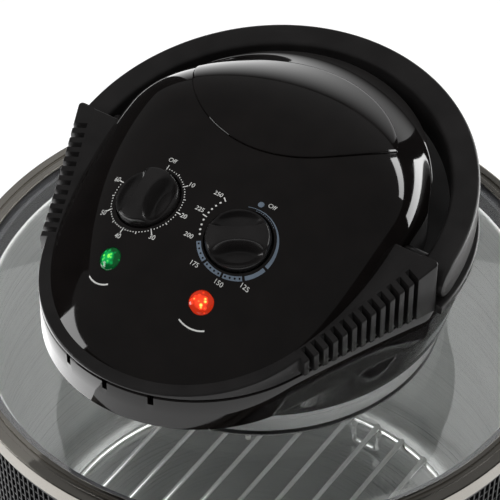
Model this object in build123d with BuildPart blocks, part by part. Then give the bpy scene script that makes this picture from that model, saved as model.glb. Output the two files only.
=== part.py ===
"""Halogen oven: a deep steel bowl in a black slatted casing, closed by a hinged glass lid that
carries the heating head, its controls and a fold-down handle.

Millimetres, +Z up, front towards -Y.  The origin is on the bowl's axis, on the table.
Every height of the head is counted from the lid's rim plane, RIM_Z.
"""

from build123d import *
from math import atan2, cos, hypot, pi, radians, sin, sqrt, tan
import os

os.makedirs("parts", exist_ok=True)

# ---------------------------------------------------------------- fits and sheet thicknesses
SHEET = 0.8            # drawn steel bowl, reflector, collar
RUN_GAP = 0.05         # radial running clearance of a shaft or pin in its hole
SEAT_GAP = 0.15        # air left between curved pieces that rest on each other
MOVE_GAP = 0.6         # air beside a piece that swings or turns
PLASTIC = 2.6          # wall of the head's mouldings

# ---------------------------------------------------------------- screws, one size throughout
SCREW_R = 1.5
SCREW_HEAD_R = 3.0
SCREW_HEAD_T = 2.2

# ---------------------------------------------------------------- base and bowl
FOOT_H = 12.0
FOOT_PCD = 240.0       # middle of the foot ring, where its screws are
FOOT_HALF_W = 13.0
FOOT_TAPER = 2.0
FOOT_SCREWS = 4
PLATE_T = 3.0
BOWL_AIR = 4.2         # air between the bowl's floor and the base plate
BOWL_DEPTH = 228.0     # from the bowl's flange to its floor
BOWL_R = 152.0         # inside radius
BOWL_CORNER_R = 18.0
BOWL_FLANGE_W = 15.0
SEAT_DROP = 12.0       # the rim plane lies this far above the bowl's flange

CASING_T = 3.0
CASING_TOP_R = BOWL_R + BOWL_FLANGE_W + CASING_T
CASING_DRAFT = 7.0     # the casing's foot is this much smaller in radius
CASING_FOOT_R = CASING_TOP_R - CASING_DRAFT
CASING_HOOP = 7.0      # smooth band along the bottom edge of the casing
CASING_BEAD = 2.5      # and along its top edge
CASING_RELIEF = 1.6    # the slatted field lies this far below the bands
CASING_RIBS = 54       # upright ribs on that field, flush with the bands
RIB_W = 1.0
SUPPORT_H = 16.0       # ring inside the casing that carries the bowl's flange
LINER_GAP = 4.7        # air between the bowl and the heat shield round it
LINER_R = BOWL_R + SHEET + LINER_GAP
LINER_T = 0.6

PLATE_Z = FOOT_H
PLATE_TOP_Z = PLATE_Z + PLATE_T
BOWL_FLOOR_Z = PLATE_TOP_Z + BOWL_AIR + SHEET
FLANGE_Z = BOWL_FLOOR_Z + BOWL_DEPTH
RIM_Z = FLANGE_Z + SEAT_DROP
CASING_TOP_Z = FLANGE_Z - SHEET

# ---------------------------------------------------------------- side grips, where they bolt on
GRIP_Z = 151.0
GRIP_SCREW_TURN = 15.0  # degrees either side of the X axis

# ---------------------------------------------------------------- wire rack in the bowl
RACK_AIR = 4.0         # the ring keeps this far inside the floor's flat
RACK_R = BOWL_R - BOWL_CORNER_R - RACK_AIR
RACK_WIRE_R = 2.0
RACK_RING_R = 2.6
RACK_LIFT = 15.0       # ring centre above the bowl's floor
RACK_PITCH = 19.5
RACK_EDGE_L = 19.0     # first and last wire from the ring's sides: they are not centred
RACK_EDGE_R = 7.0
RACK_WIRES = 1 + round((2 * RACK_R - RACK_EDGE_L - RACK_EDGE_R) / RACK_PITCH)
RACK_FIRST_X = RACK_EDGE_L - RACK_R
RACK_LEGS = 3

# ---------------------------------------------------------------- lid: glass, rim, collar
GLASS_T = 4.0
GLASS_LAP = 11.0       # the glass reaches this far past the bowl's inside
GLASS_R = BOWL_R + GLASS_LAP
GLASS_HOLE_R = 95.0
GLASS_RISE = 3.95      # the glass climbs this much from its edge to its hole
GLASS_EDGE_Z = -0.4    # top of the glass at its edge, from the rim plane
BAND_W = 9.0           # the steel rim band stands this far outside the glass
BAND_LAP = 2.5         # and its lip covers this much of it
BAND_R = GLASS_R + BAND_W
BAND_LIP_R = GLASS_R - BAND_LAP
BAND_BEVEL = 1.0       # slope on the lip's inner edge
BAND_ROUND_W = 2.0     # sloping shoulder at the band's outer edge
BAND_ROUND_H = 2.2
BAND_FALL = 0.6        # the shoulder starts this far below the band's top
BAND_TOP_Z = 1.2
BAND_FOOT_Z = 1.5 - SEAT_DROP
GROOVE_R = GLASS_R + 2.0
GROOVE_W = 3.0
GROOVE_D = 1.6
SEAL_W = 7.0
SEAL_IN = 2.0          # the seal starts this far outside the bowl's wall
SEAL_EDGE = 1.5        # and is this thick there
COLLAR_STAND = 6.0     # the steel collar stands this far outside the glass's hole
COLLAR_FLARE = 3.4
COLLAR_R = GLASS_HOLE_R + COLLAR_STAND
COLLAR_TOP_R = COLLAR_R + COLLAR_FLARE
CLAMP_IN = 2.0         # the clamp ring goes through the hole with this much air
CLAMP_R = GLASS_HOLE_R - CLAMP_IN
CLAMP_FOOT_R = COLLAR_R

# ---------------------------------------------------------------- heater chamber
BOARD_T = 4.0
REFLECTOR_AIR = 3.0    # between the reflector and the clamp ring round it
REFLECTOR_R = CLAMP_R - REFLECTOR_AIR
REFLECTOR_BEND = 8.0
REFLECTOR_FOOT_Z = 1.0
SHAFT_HOLE_R = 6.0
TUBE_AIR = 22.0        # the tube's ring lies this far inside the reflector
TUBE_RING_R = REFLECTOR_R - TUBE_AIR
TUBE_R = 5.0
TUBE_Z = 6.0
TUBE_ARC = 320.0       # degrees of the ring that the tube fills
HOLDER_W = 14.0
GUARD_WIRE_R = 1.5
GUARD_LAP = 5.0        # the guard ends this far inside the clamp's foot
GUARD_R = CLAMP_FOOT_R - GUARD_LAP
GUARD_RINGS = 4
GUARD_SPOKES = 6
GUARD_HUB_R = 6.0

# ---------------------------------------------------------------- head: lower housing
HOUSING_Z = 20.0       # underside of the housing, above the rim plane
HOUSING_LAP = 1.9      # the housing's foot is this much wider than the collar
HOUSING_R = COLLAR_TOP_R + HOUSING_LAP
HOUSING_BAND = 4.0
WALL_FOOT_Z = 38.0     # lower edge of the upright front wall
SPLIT_Z = 59.0         # joint between lower housing and top cover
NOSE_R = 83.3          # plan radius of the front wall
NOSE_Y = -58.0         # its centre
CROWN_HALF = 90.0      # half width of the crowned panel, and the radius of its rear shoulder
BLOCK_W = 19.9         # width of the side blocks at their rear end
WALL_END_X = CROWN_HALF + BLOCK_W
WALL_END_Y = -7.2
NOTCH_W = 3.0
NOTCH_H = 6.0
NOTCH_X = 25.5
POSTS = ((-40.0, -90.0), (40.0, -90.0), (72.0, 72.0), (-72.0, 72.0))
POST_R = 4.5
POST_SINK = 26.0       # screw heads sit this far up inside the posts
POST_THREAD = 4.0      # depth of their holes in the top cover
GLAND_Y = 110.2        # face of the cable gland's flange, behind the axis
GLAND_Z = 42.0
GLAND_R = 7.0
GLAND_L = 12.0
GLAND_HOLE_R = 3.6
GLAND_FLANGE_R = 10.0
GLAND_FLANGE_T = 3.0

# ---------------------------------------------------------------- head: top cover
LIP_FRONT_Z = 61.5     # flat rim surface, at the nose
LIP_MID_Z = 74.8       # half way back
LIP_MID_Y = -70.0
LIP_REAR_Z = 95.0      # at the rear of the side blocks
LIP_W = 5.3            # width of the lip round the nose
CROWN_FRONT = NOSE_R - NOSE_Y - LIP_W
CROWN_BASE_Z = 60.0    # height of the crown's base plane at its front end
CROWN_TILT = 11.5      # degrees that the base plane climbs to the rear
CROWN_H = 37.0         # height above that plane
CROWN_PEAK_Y = 25.0    # the top lies this far ahead of the axis
FLANGE_T = 5.5         # ledge under the folded handle
CAP_T = 1.0            # raised plate on top of the crown
CAP_REAR_R = 71.3
CAP_FRONT_Y = -13.0
CAP_REAR_TURN = 27.8   # degrees from +X to the plate's corners

VENT_FINS = 13
VENT_PITCH = 5.85
VENT_SLOT = 2.9
VENT_FIRST = 7.3       # first fin, along the side wall from the nose's end
VENT_PROUD = 3.6       # the fins stand out of the side wall
VENT_DEPTH = 6.0       # and reach this far in
VENT_CUT = 8.0         # the slots between them are this deep
VENT_FLOOR = 2.5       # ledge below the fins

# ---------------------------------------------------------------- controls
DIAL_X = 28.0
DIAL_Y = -62.4
DIAL_R = 18.0          # recess
DIAL_DEPTH = 6.0
KNOB_R = 17.0
KNOB_GRIP_R = 16.4     # half length of the grip bar
KNOB_GRIP_W = 13.0
KNOB_GRIP_H = 8.5      # above the panel
KNOB_FOOT = -5.6       # underside of the skirt, from the panel
KNOB_SKIRT = 5.1
KNOB_ROUND = 4.0
KNOB_BORE = 8.0
KNOB_SHAFT_R = 3.0
KNOB_SHAFT_L = 26.0
TIMER_ANGLE = 0.0      # grip directions, degrees clockwise from the off mark
HEAT_ANGLE = 56.0
UNIT_SIZE = 38.0
UNIT_DEEP = 20.0
THERMOSTAT_R = 16.0
LAMP_X = 28.2
LAMP_Y = -95.8
LAMP_R = 6.2
LAMP_DOME = 2.2
LAMP_DEEP = 6.0
BULB_R = 3.0
BULB_L = 10.0
TERMINAL_XY = (-50.0, 40.0)
TERMINAL_SIZE = (40.0, 18.0, 14.0)

# ---------------------------------------------------------------- motor and fans
SHAFT_R = 2.5
SHAFT_FOOT_Z = 0.5
SHAFT_L = 77.5
MOTOR_Z = 30.0
MOTOR_R = 26.0
MOTOR_H = 32.0
MOTOR_BOSS_R = 8.0
MOTOR_BOSS_H = 2.0
MOTOR_PLATE_R = 30.0
MOTOR_LEGS = 3
MOTOR_LEG_PCD = 48.0
MOTOR_LEG_R = 4.0
BRACKET_SHEET = 2.0
HOT_FAN_Z = 2.0
COOL_FAN_Z = 66.0
FAN_PITCH = 30.0       # degrees of blade pitch
FAN_HUB_H = 8.0
FAN_CHORD = 12.0
BLADE_ROOT = 1.0       # the blades start this far inside the hub
HOT_HUB_R = 9.0
HOT_TIP_R = 40.0
HOT_BLADES = 6
COOL_HUB_R = 8.0
COOL_TIP_R = 34.0
COOL_BLADES = 8

# ---------------------------------------------------------------- handle
LUG_W = 9.0            # the pivot lugs stand this far out of the crown
LUG_X = CROWN_HALF + LUG_W
LUG_HALF = 7.0
LUG_ROOT = 4.0         # and reach this far into it
HANDLE_SIDE_AIR = 1.3
HANDLE_IN_R = LUG_X + HANDLE_SIDE_AIR
HANDLE_W = 15.0
LEDGE_W = 1.7          # the ledge shows this much outside the handle
FLANGE_R = HANDLE_IN_R + HANDLE_W + LEDGE_W
HANDLE_H = 20.0
HANDLE_TILT = 10.1     # degrees that the folded handle climbs to the rear
PIVOT_Y = 3.4
PIVOT_Z = 76.0         # above the rim plane
HANDLE_PIN_R = 4.0
PIN_IN_X = CROWN_HALF + 1.5  # inner end of the pivot pins
PIN_L = 20.0
PLUNGER_R = 2.5
PLUNGER_IN = 2.7       # under the handle, this far outside its inner face
PLUNGER_RING_R = HANDLE_IN_R + PLUNGER_IN
PLUNGER_TURN = 167.0   # degrees from +X
PLUNGER_TOP_Z = 68.5
PLUNGER_L = 17.0
SWITCH_T = 12.5
SWITCH_IN = 9.0        # the switch's inner face lies this far inside the plunger
SWITCH_R = PLUNGER_RING_R - SWITCH_IN
SWITCH_W = 16.0
SWITCH_H = 14.0
SWITCH_BORE = 12.0
plunger_spot = (PLUNGER_RING_R * cos(radians(PLUNGER_TURN)),
                PLUNGER_RING_R * sin(radians(PLUNGER_TURN)))

# ---------------------------------------------------------------- hinge at the back
HINGE_REACH = 12.0     # the axis lies this far behind the rim band
HINGE_Y = BAND_R + HINGE_REACH
HINGE_DROP = 18.0      # the axis lies below the rim plane
HINGE_PIN_R = 3.0
HINGE_KNUCKLE_R = 6.5
HINGE_ARM_W = 22.0
HINGE_EAR_T = 5.0
BRACKET_H = 46.0
BRACKET_T = 3.0
BRACKET_SCREW_X = 9.0
BRACKET_SCREW_DROP = 30.0  # below the hinge axis
HINGE_Z = RIM_Z - HINGE_DROP
ARM_SCREW_Z = -5.0     # from the rim plane


def save(builder, name):
    """Labels the finished piece and writes its STEP file."""
    builder.part.label = name
    export_step(builder.part, f"parts/{name}.step")


def at(height):
    """Horizontal plane at a height above the lid's rim plane."""
    return Plane.XY.offset(RIM_Z + height)


def lathe(*points, base=0.0, mode=Mode.ADD):
    """Turns a closed (radius, height) profile about Z into the piece being built."""
    with BuildSketch(Plane.XZ) as section:
        with BuildLine():
            Polyline(*[(radius, base + height) for radius, height in points], close=True)
        make_face()
    revolve(section.sketch, axis=Axis.Z, mode=mode)


def radial_plane(turn, radius, height):
    """Plane facing straight out from the axis, at an angle from +X in degrees."""
    c, s = cos(radians(turn)), sin(radians(turn))
    return Plane(origin=(radius * c, radius * s, height), x_dir=(-s, c, 0), z_dir=(c, s, 0))


def rear_plane(x, y, height):
    """Plane facing the rear, +Y."""
    return Plane(origin=(x, y, height), x_dir=(-1, 0, 0), z_dir=(0, 1, 0))


def peg(radius, length, mode=Mode.ADD):
    """Cylinder standing on the current plane; a negative length hangs below it."""
    side = Align.MIN if length > 0 else Align.MAX
    Cylinder(radius, abs(length), align=(Align.CENTER, Align.CENTER, side), mode=mode)


# ================================================================ crown geometry
CROWN_SLOPE = tan(radians(CROWN_TILT))


def crown_base(y):
    """Height of the crown's base plane above the rim plane."""
    return CROWN_BASE_Z + CROWN_SLOPE * (y + CROWN_FRONT)


def crown_reach(k):
    """Front reach, half width and rear reach of the contour at height fraction k."""
    front = CROWN_PEAK_Y + (CROWN_FRONT - CROWN_PEAK_Y) * (1 - k**1.11) ** (1 / 3)
    half = CROWN_HALF * (1 - k**1.6) ** 0.25
    rear = CROWN_HALF * (1 - k**0.7) ** 0.5
    return front, half, rear


def crown_power(y):
    """Exponent of the plan outline: nearly a circle behind the axis, slimmer ahead of it."""
    return 1.85 if y < 0 else 2.0


def crown_point(k, turn, inset=0.0):
    """Plan point of the contour at height fraction k, at an angle from +X."""
    front, half, rear = crown_reach(k)
    c, s = cos(turn), sin(turn)
    reach = (front if s < 0 else rear) - inset
    power = 2 / crown_power(s)
    x = (half - inset) * abs(c) ** power * (1 if c >= 0 else -1)
    y = reach * abs(s) ** power * (1 if s >= 0 else -1)
    return x, y


def crown_height(x, y):
    """Height of the crown above the rim plane at a plan point."""
    low, high = 0.0, 1.0
    for _ in range(40):
        k = (low + high) / 2
        front, half, rear = crown_reach(k)
        reach = front if y < 0 else rear
        power = crown_power(y)
        inside = (abs(x) / half) ** power + (abs(y) / max(reach, 0.01)) ** power < 1
        low, high = (k, high) if inside else (low, k)
    return crown_base(y) + low * CROWN_H


def crown_plane(x, y):
    """Plane on the crown's surface, its local +Y towards the rear."""
    step = 1.0
    dx = (crown_height(x + step, y) - crown_height(x - step, y)) / (2 * step)
    dy = (crown_height(x, y + step) - crown_height(x, y - step)) / (2 * step)
    normal = Vector(-dx, -dy, 1).normalized()
    across = Vector(0, 1, 0).cross(normal).normalized()
    return Plane(origin=(x, y, RIM_Z + crown_height(x, y)), x_dir=across, z_dir=normal)


CONTOUR_POINTS = 20
CONTOUR_LEVELS = (0.0, 0.2, 0.42, 0.63, 0.8, 0.92, 0.985)


def crown_contour(k, inset=0.0, drop=0.0):
    """Sketch of one contour, on its own tilted plane."""
    tilt = radians(CROWN_TILT)
    level = RIM_Z + crown_base(0) + k * CROWN_H - drop
    plane = Plane(origin=(0, 0, level), x_dir=(1, 0, 0), z_dir=(0, -sin(tilt), cos(tilt)))
    points = []
    for i in range(CONTOUR_POINTS):
        x, y = crown_point(k, 2 * pi * i / CONTOUR_POINTS, inset)
        points.append((x, y / cos(tilt)))
    with BuildSketch(plane) as contour:
        with BuildLine():
            Spline(*points, periodic=True)
        make_face()
    return contour.sketch


def crown_solid(inset=0.0, lift=0.0):
    """The crowned form, from the split plane up, drawn in by an inset or raised by a lift."""
    sections = [crown_contour(k, inset, inset - lift) for k in CONTOUR_LEVELS]
    with BuildPart() as crown:
        loft(sections=sections)
        extrude(sections[0], amount=CROWN_FRONT, dir=(0, 0, -1))
        with BuildSketch(at(SPLIT_Z)):
            Rectangle(4 * CROWN_FRONT, 4 * CROWN_FRONT)
        extrude(amount=-2 * CROWN_FRONT, mode=Mode.SUBTRACT)
    return crown.part


# ================================================================ plan of the head
def head_corner(inset=0.0):
    """Where the nose arc ends and the straight side wall begins."""
    run = hypot(WALL_END_X, WALL_END_Y - NOSE_Y)
    turn = atan2(WALL_END_Y - NOSE_Y, WALL_END_X) - atan2(sqrt(run**2 - NOSE_R**2), NOSE_R)
    return (NOSE_R - inset) * cos(turn), NOSE_Y + (NOSE_R - inset) * sin(turn)


def head_outline(inset=0.0):
    """Plan of the housing's walls: nose arc, two straight sides and a round rear."""
    nose_x, nose_y = head_corner(inset)
    along = atan2(WALL_END_Y - head_corner()[1], WALL_END_X - head_corner()[0])
    end_x = WALL_END_X - inset / sin(along)
    rear_r = hypot(end_x, WALL_END_Y)
    with BuildLine() as outline:
        ThreePointArc((-nose_x, nose_y), (0, NOSE_Y - NOSE_R + inset), (nose_x, nose_y))
        Line((nose_x, nose_y), (end_x, WALL_END_Y))
        ThreePointArc((end_x, WALL_END_Y), (0, rear_r), (-end_x, WALL_END_Y))
        Line((-end_x, WALL_END_Y), (-nose_x, nose_y))
    return outline.line


def round_outline(radius):
    """A circle split at the same four corners, to loft with the head's outline."""
    nose = atan2(head_corner()[1], head_corner()[0])
    rear = atan2(WALL_END_Y, WALL_END_X)
    right_nose = (radius * cos(nose), radius * sin(nose))
    right_rear = (radius * cos(rear), radius * sin(rear))
    left_nose, left_rear = (-right_nose[0], right_nose[1]), (-right_rear[0], right_rear[1])
    side = (nose + rear) / 2
    middle = (radius * cos(side), radius * sin(side))
    with BuildLine() as outline:
        ThreePointArc(left_nose, (0, -radius), right_nose)
        ThreePointArc(right_nose, middle, right_rear)
        ThreePointArc(right_rear, (0, radius), left_rear)
        ThreePointArc(left_rear, (-middle[0], middle[1]), left_nose)
    return outline.line


def wall_plane():
    """Plan plane of the right side wall: local X outwards, local Y along the wall to the rear."""
    nose_x, nose_y = head_corner()
    along = Vector(WALL_END_X - nose_x, WALL_END_Y - nose_y, 0).normalized()
    return Plane(origin=(nose_x, nose_y, RIM_Z), x_dir=(along.Y, -along.X, 0), z_dir=(0, 0, 1))


# ================================================================ base: foot ring, plate, casing
def casing_radius(z):
    """Outside radius of the tapered casing."""
    share = (z - PLATE_Z) / (CASING_TOP_Z - PLATE_Z)
    return CASING_FOOT_R + share * CASING_DRAFT


def clear_casing():
    """Cuts the casing's room out of the piece being built, so that it seats on the ribs."""
    foot_r, top_r = casing_radius(0) + SEAT_GAP, casing_radius(RIM_Z) + SEAT_GAP
    lathe((0, 0), (foot_r, 0), (top_r, RIM_Z), (0, RIM_Z), mode=Mode.SUBTRACT)


FOOT_SCREW_R = 2.0
FOOT_SCREW_HEAD_R = 4.0
FOOT_SCREW_HEAD_T = 2.4
FOOT_SCREW_SINK = 5.0

with BuildPart() as foot_ring:
    lathe(
        (FOOT_PCD / 2 - FOOT_HALF_W, FOOT_H),
        (FOOT_PCD / 2 + FOOT_HALF_W, FOOT_H),
        (FOOT_PCD / 2 + FOOT_HALF_W - FOOT_TAPER, 0),
        (FOOT_PCD / 2 - FOOT_HALF_W + FOOT_TAPER, 0),
    )
    with PolarLocations(FOOT_PCD / 2, FOOT_SCREWS, start_angle=45):
        peg(FOOT_SCREW_HEAD_R + SEAT_GAP, FOOT_SCREW_SINK + FOOT_SCREW_HEAD_T,
            mode=Mode.SUBTRACT)
        peg(FOOT_SCREW_R + RUN_GAP, FOOT_H, mode=Mode.SUBTRACT)
save(foot_ring, "foot_ring")

with BuildPart() as foot_screws:
    with Locations(Plane.XY.offset(FOOT_SCREW_SINK)):
        with PolarLocations(FOOT_PCD / 2, FOOT_SCREWS, start_angle=45):
            peg(FOOT_SCREW_HEAD_R, FOOT_SCREW_HEAD_T)
            peg(FOOT_SCREW_R, PLATE_TOP_Z - FOOT_SCREW_SINK)
save(foot_screws, "foot_screws")

with BuildPart() as base_plate:
    with BuildSketch(Plane.XY.offset(PLATE_Z)):
        Circle(CASING_FOOT_R - CASING_T)
        with PolarLocations(FOOT_PCD / 2, FOOT_SCREWS, start_angle=45):
            Circle(FOOT_SCREW_R + RUN_GAP, mode=Mode.SUBTRACT)
    extrude(amount=PLATE_T)
save(base_plate, "base_plate")

hoop_z = PLATE_Z + CASING_HOOP
bead_z = CASING_TOP_Z - CASING_BEAD

with BuildPart() as casing_ribs:
    with BuildSketch(Plane.XY.offset(hoop_z)):
        with PolarLocations(CASING_FOOT_R, CASING_RIBS, start_angle=180 / CASING_RIBS):
            Rectangle(2 * CASING_DRAFT, RIB_W)
    extrude(amount=bead_z - hoop_z)
    lathe(
        (casing_radius(hoop_z) - CASING_RELIEF - SHEET, hoop_z),
        (casing_radius(hoop_z), hoop_z),
        (casing_radius(bead_z), bead_z),
        (casing_radius(bead_z) - CASING_RELIEF - SHEET, bead_z),
        mode=Mode.INTERSECT,
    )

with BuildPart() as outer_casing:
    profile = (
        (CASING_FOOT_R - CASING_T, PLATE_Z),
        (CASING_FOOT_R, PLATE_Z),
        (casing_radius(hoop_z), hoop_z),
        (casing_radius(hoop_z) - CASING_RELIEF, hoop_z),
        (casing_radius(bead_z) - CASING_RELIEF, bead_z),
        (casing_radius(bead_z), bead_z),
        (CASING_TOP_R, CASING_TOP_Z),
        (CASING_TOP_R - CASING_T, CASING_TOP_Z),
    )
    lathe(*profile)
    add(casing_ribs.part)
    for side in (0, 180):
        for turn in (side - GRIP_SCREW_TURN, side + GRIP_SCREW_TURN):
            with Locations(radial_plane(turn, CASING_FOOT_R, GRIP_Z)):
                Cylinder(SCREW_R + RUN_GAP, 8 * CASING_T, mode=Mode.SUBTRACT)
    for x in (-BRACKET_SCREW_X, BRACKET_SCREW_X):
        with Locations(rear_plane(x, CASING_FOOT_R, HINGE_Z - BRACKET_SCREW_DROP)):
            Cylinder(SCREW_R + RUN_GAP, 8 * CASING_T, mode=Mode.SUBTRACT)
save(outer_casing, "outer_casing")

SUPPORT_T = 3.0
with BuildPart() as rim_support:
    support_z = CASING_TOP_Z - SUPPORT_H
    outside = casing_radius(support_z) - CASING_T - SEAT_GAP
    inside = LINER_R + LINER_T + SEAT_GAP
    profile = (
        (inside, support_z),
        (outside, support_z),
        (CASING_TOP_R - CASING_T - SEAT_GAP, CASING_TOP_Z),
        (BOWL_R + SHEET + SEAT_GAP, CASING_TOP_Z),
        (BOWL_R + SHEET + SEAT_GAP, CASING_TOP_Z - SUPPORT_T),
        (inside, CASING_TOP_Z - SUPPORT_T),
    )
    lathe(*profile)
save(rim_support, "rim_support")

LINER_FOOT_W = 8.0
with BuildPart() as heat_shield:
    profile = (
        (LINER_R - LINER_FOOT_W, PLATE_TOP_Z),
        (LINER_R + LINER_T, PLATE_TOP_Z),
        (LINER_R + LINER_T, CASING_TOP_Z - SUPPORT_T),
        (LINER_R, CASING_TOP_Z - SUPPORT_T),
        (LINER_R, PLATE_TOP_Z + LINER_T),
        (LINER_R - LINER_FOOT_W, PLATE_TOP_Z + LINER_T),
    )
    lathe(*profile)
save(heat_shield, "heat_shield")

with BuildPart() as bowl:
    def bowl_curve(grow):
        """Half section of one face of the sheet, from the axis to the flange."""
        floor_z, corner = BOWL_FLOOR_Z - grow, BOWL_CORNER_R + grow
        wall = BOWL_R + grow
        bend = sin(pi / 4) * corner
        return (
            ((0, floor_z), (wall - corner, floor_z)),
            ((wall - corner, floor_z),
             (wall - corner + bend, floor_z + corner - bend),
             (wall, floor_z + corner)),
            ((wall, floor_z + corner), (wall, FLANGE_Z - grow)),
            ((wall, FLANGE_Z - grow), (BOWL_R + BOWL_FLANGE_W, FLANGE_Z - grow)),
        )

    with BuildSketch(Plane.XZ):
        with BuildLine():
            for grow in (0.0, SHEET):
                floor, corner, wall, flange = bowl_curve(grow)
                Line(*floor)
                ThreePointArc(*corner)
                Line(*wall)
                Line(*flange)
            Line((0, BOWL_FLOOR_Z), (0, BOWL_FLOOR_Z - SHEET))
            Line((BOWL_R + BOWL_FLANGE_W, FLANGE_Z), (BOWL_R + BOWL_FLANGE_W, FLANGE_Z - SHEET))
        make_face()
    revolve(axis=Axis.Z)
save(bowl, "bowl")


# ================================================================ wire rack, spot-welded wires
RACK_Z = BOWL_FLOOR_Z + RACK_LIFT
FOOT_BEND = 3.5
FOOT_HALF = 9.0        # each foot is a wire loop this far either side of its middle

with BuildPart() as rack_ring:
    with Locations((0, 0, RACK_Z)):
        Torus(RACK_R, RACK_RING_R)
save(rack_ring, "rack_ring")

with BuildPart() as rack_wires:
    for i in range(RACK_WIRES):
        wire_x = RACK_FIRST_X + i * RACK_PITCH
        wire_z = RACK_Z + RACK_RING_R + RACK_WIRE_R
        with Locations(Location((wire_x, 0, wire_z), (90, 0, 0))):
            Cylinder(RACK_WIRE_R, 2 * sqrt(RACK_R**2 - wire_x**2))
save(rack_wires, "rack_wires")

with BuildPart() as rack_feet:
    foot_r = sqrt((RACK_R - RACK_RING_R - RACK_WIRE_R) ** 2 - FOOT_HALF**2)
    foot_z = BOWL_FLOOR_Z + RACK_WIRE_R
    for i in range(RACK_LEGS):
        upright = radial_plane(90 + 360 * i / RACK_LEGS, foot_r, 0)
        with BuildLine(upright) as loop:
            FilletPolyline(
                (-FOOT_HALF, RACK_Z + RACK_WIRE_R),
                (-FOOT_HALF, foot_z),
                (FOOT_HALF, foot_z),
                (FOOT_HALF, RACK_Z + RACK_WIRE_R),
                radius=FOOT_BEND,
            )
        with BuildSketch(Plane(origin=loop.line @ 0, z_dir=loop.line % 0)) as section:
            Circle(RACK_WIRE_R)
        sweep(section.sketch, path=loop.line)
save(rack_feet, "rack_feet")


# ================================================================ side grips on the casing
GRIP_H = 22.0
GRIP_HALF = 50.0       # half length along Y
GRIP_STAND = 26.0      # the grips reach this far outside the casing's top
GRIP_REACH = CASING_TOP_R + GRIP_STAND
GRIP_BAR = 10.0        # thickness of the bar outside the finger hole
GRIP_HOLE = 13.0
GRIP_ROUND = 3.0
GRIP_SCREW_L = 11.0
grip_wall_r = casing_radius(GRIP_Z) - CASING_T - SEAT_GAP

with BuildPart() as grip_right:
    with BuildSketch(Plane.XY.offset(GRIP_Z - GRIP_H / 2)):
        with Locations((GRIP_REACH, 0)):
            Rectangle(GRIP_REACH - CASING_FOOT_R, 2 * GRIP_HALF,
                      align=(Align.MAX, Align.CENTER))
        with Locations((GRIP_REACH - GRIP_BAR, 0)):
            Rectangle(GRIP_HOLE, 2 * (GRIP_HALF - GRIP_BAR),
                      align=(Align.MAX, Align.CENTER), mode=Mode.SUBTRACT)
    extrude(amount=GRIP_H)
    fillet(grip_right.edges().filter_by(Axis.Z).group_by(Axis.X)[-1], radius=GRIP_BAR)
    fillet(grip_right.faces().sort_by(Axis.X)[-1].edges().filter_by(Axis.Y), radius=GRIP_ROUND)
    clear_casing()
    for turn in (-GRIP_SCREW_TURN, GRIP_SCREW_TURN):
        with Locations(radial_plane(turn, grip_wall_r, GRIP_Z)):
            peg(SCREW_R + RUN_GAP, GRIP_SCREW_L + SEAT_GAP, mode=Mode.SUBTRACT)
save(grip_right, "grip_right")

with BuildPart() as grip_left:
    mirror(grip_right.part, about=Plane.YZ)
save(grip_left, "grip_left")

with BuildPart() as grip_screws:
    for side in (0, 180):
        for turn in (side - GRIP_SCREW_TURN, side + GRIP_SCREW_TURN):
            with Locations(radial_plane(turn, grip_wall_r, GRIP_Z)):
                peg(SCREW_HEAD_R, -SCREW_HEAD_T)
                peg(SCREW_R, GRIP_SCREW_L)
save(grip_screws, "grip_screws")


# ================================================================ hinge
BRACKET_HALF = 18.0
BRACKET_TOP_Z = HINGE_Z + 2.5
BRACKET_Y = CASING_TOP_R + BRACKET_T
EAR_X = HINGE_ARM_W / 2 + MOVE_GAP
BRACKET_SCREW_L = 11.0
ARM_TOP = 0.0          # top of the lid arm, from the rim plane
ARM_T = 6.0
ARM_SCREW_X = 6.0
ARM_SCREW_L = 9.0

with BuildPart() as hinge_bracket:
    with BuildSketch(Plane.YZ):
        with BuildLine():
            Polyline(
                (CASING_FOOT_R, BRACKET_TOP_Z),
                (BRACKET_Y, BRACKET_TOP_Z),
                (BRACKET_Y, BRACKET_TOP_Z - BRACKET_H),
                (CASING_FOOT_R, BRACKET_TOP_Z - BRACKET_H),
                close=True,
            )
        make_face()
    extrude(amount=BRACKET_HALF, both=True)
    with BuildSketch(Plane.YZ.offset(EAR_X)):
        with BuildLine():
            Polyline(
                (BRACKET_Y - BRACKET_T, BRACKET_TOP_Z),
                (HINGE_Y, HINGE_Z + HINGE_KNUCKLE_R),
                (HINGE_Y, HINGE_Z - HINGE_KNUCKLE_R),
                (BRACKET_Y - BRACKET_T, BRACKET_TOP_Z - BRACKET_H / 2),
                close=True,
            )
        make_face()
        with Locations((HINGE_Y, HINGE_Z)):
            Circle(HINGE_KNUCKLE_R)
    extrude(amount=HINGE_EAR_T)
    mirror(about=Plane.YZ)
    clear_casing()
    with Locations(Location((0, HINGE_Y, HINGE_Z), (0, 90, 0))):
        Cylinder(HINGE_PIN_R + RUN_GAP, 4 * BRACKET_HALF, mode=Mode.SUBTRACT)
    for x in (-BRACKET_SCREW_X, BRACKET_SCREW_X):
        with Locations(rear_plane(x, BRACKET_Y, HINGE_Z - BRACKET_SCREW_DROP)):
            peg(SCREW_R + RUN_GAP, -BRACKET_SCREW_L, mode=Mode.SUBTRACT)
save(hinge_bracket, "hinge_bracket")

with BuildPart() as hinge_pin:
    with Locations(Location((0, HINGE_Y, HINGE_Z), (0, 90, 0))):
        Cylinder(HINGE_PIN_R, 2 * (EAR_X + HINGE_EAR_T))
save(hinge_pin, "hinge_pin")

with BuildPart() as bracket_screws:
    for x in (-BRACKET_SCREW_X, BRACKET_SCREW_X):
        with Locations(rear_plane(x, BRACKET_Y, HINGE_Z - BRACKET_SCREW_DROP)):
            peg(SCREW_HEAD_R, SCREW_HEAD_T)
            peg(SCREW_R, -BRACKET_SCREW_L)
save(bracket_screws, "bracket_screws")

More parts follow.
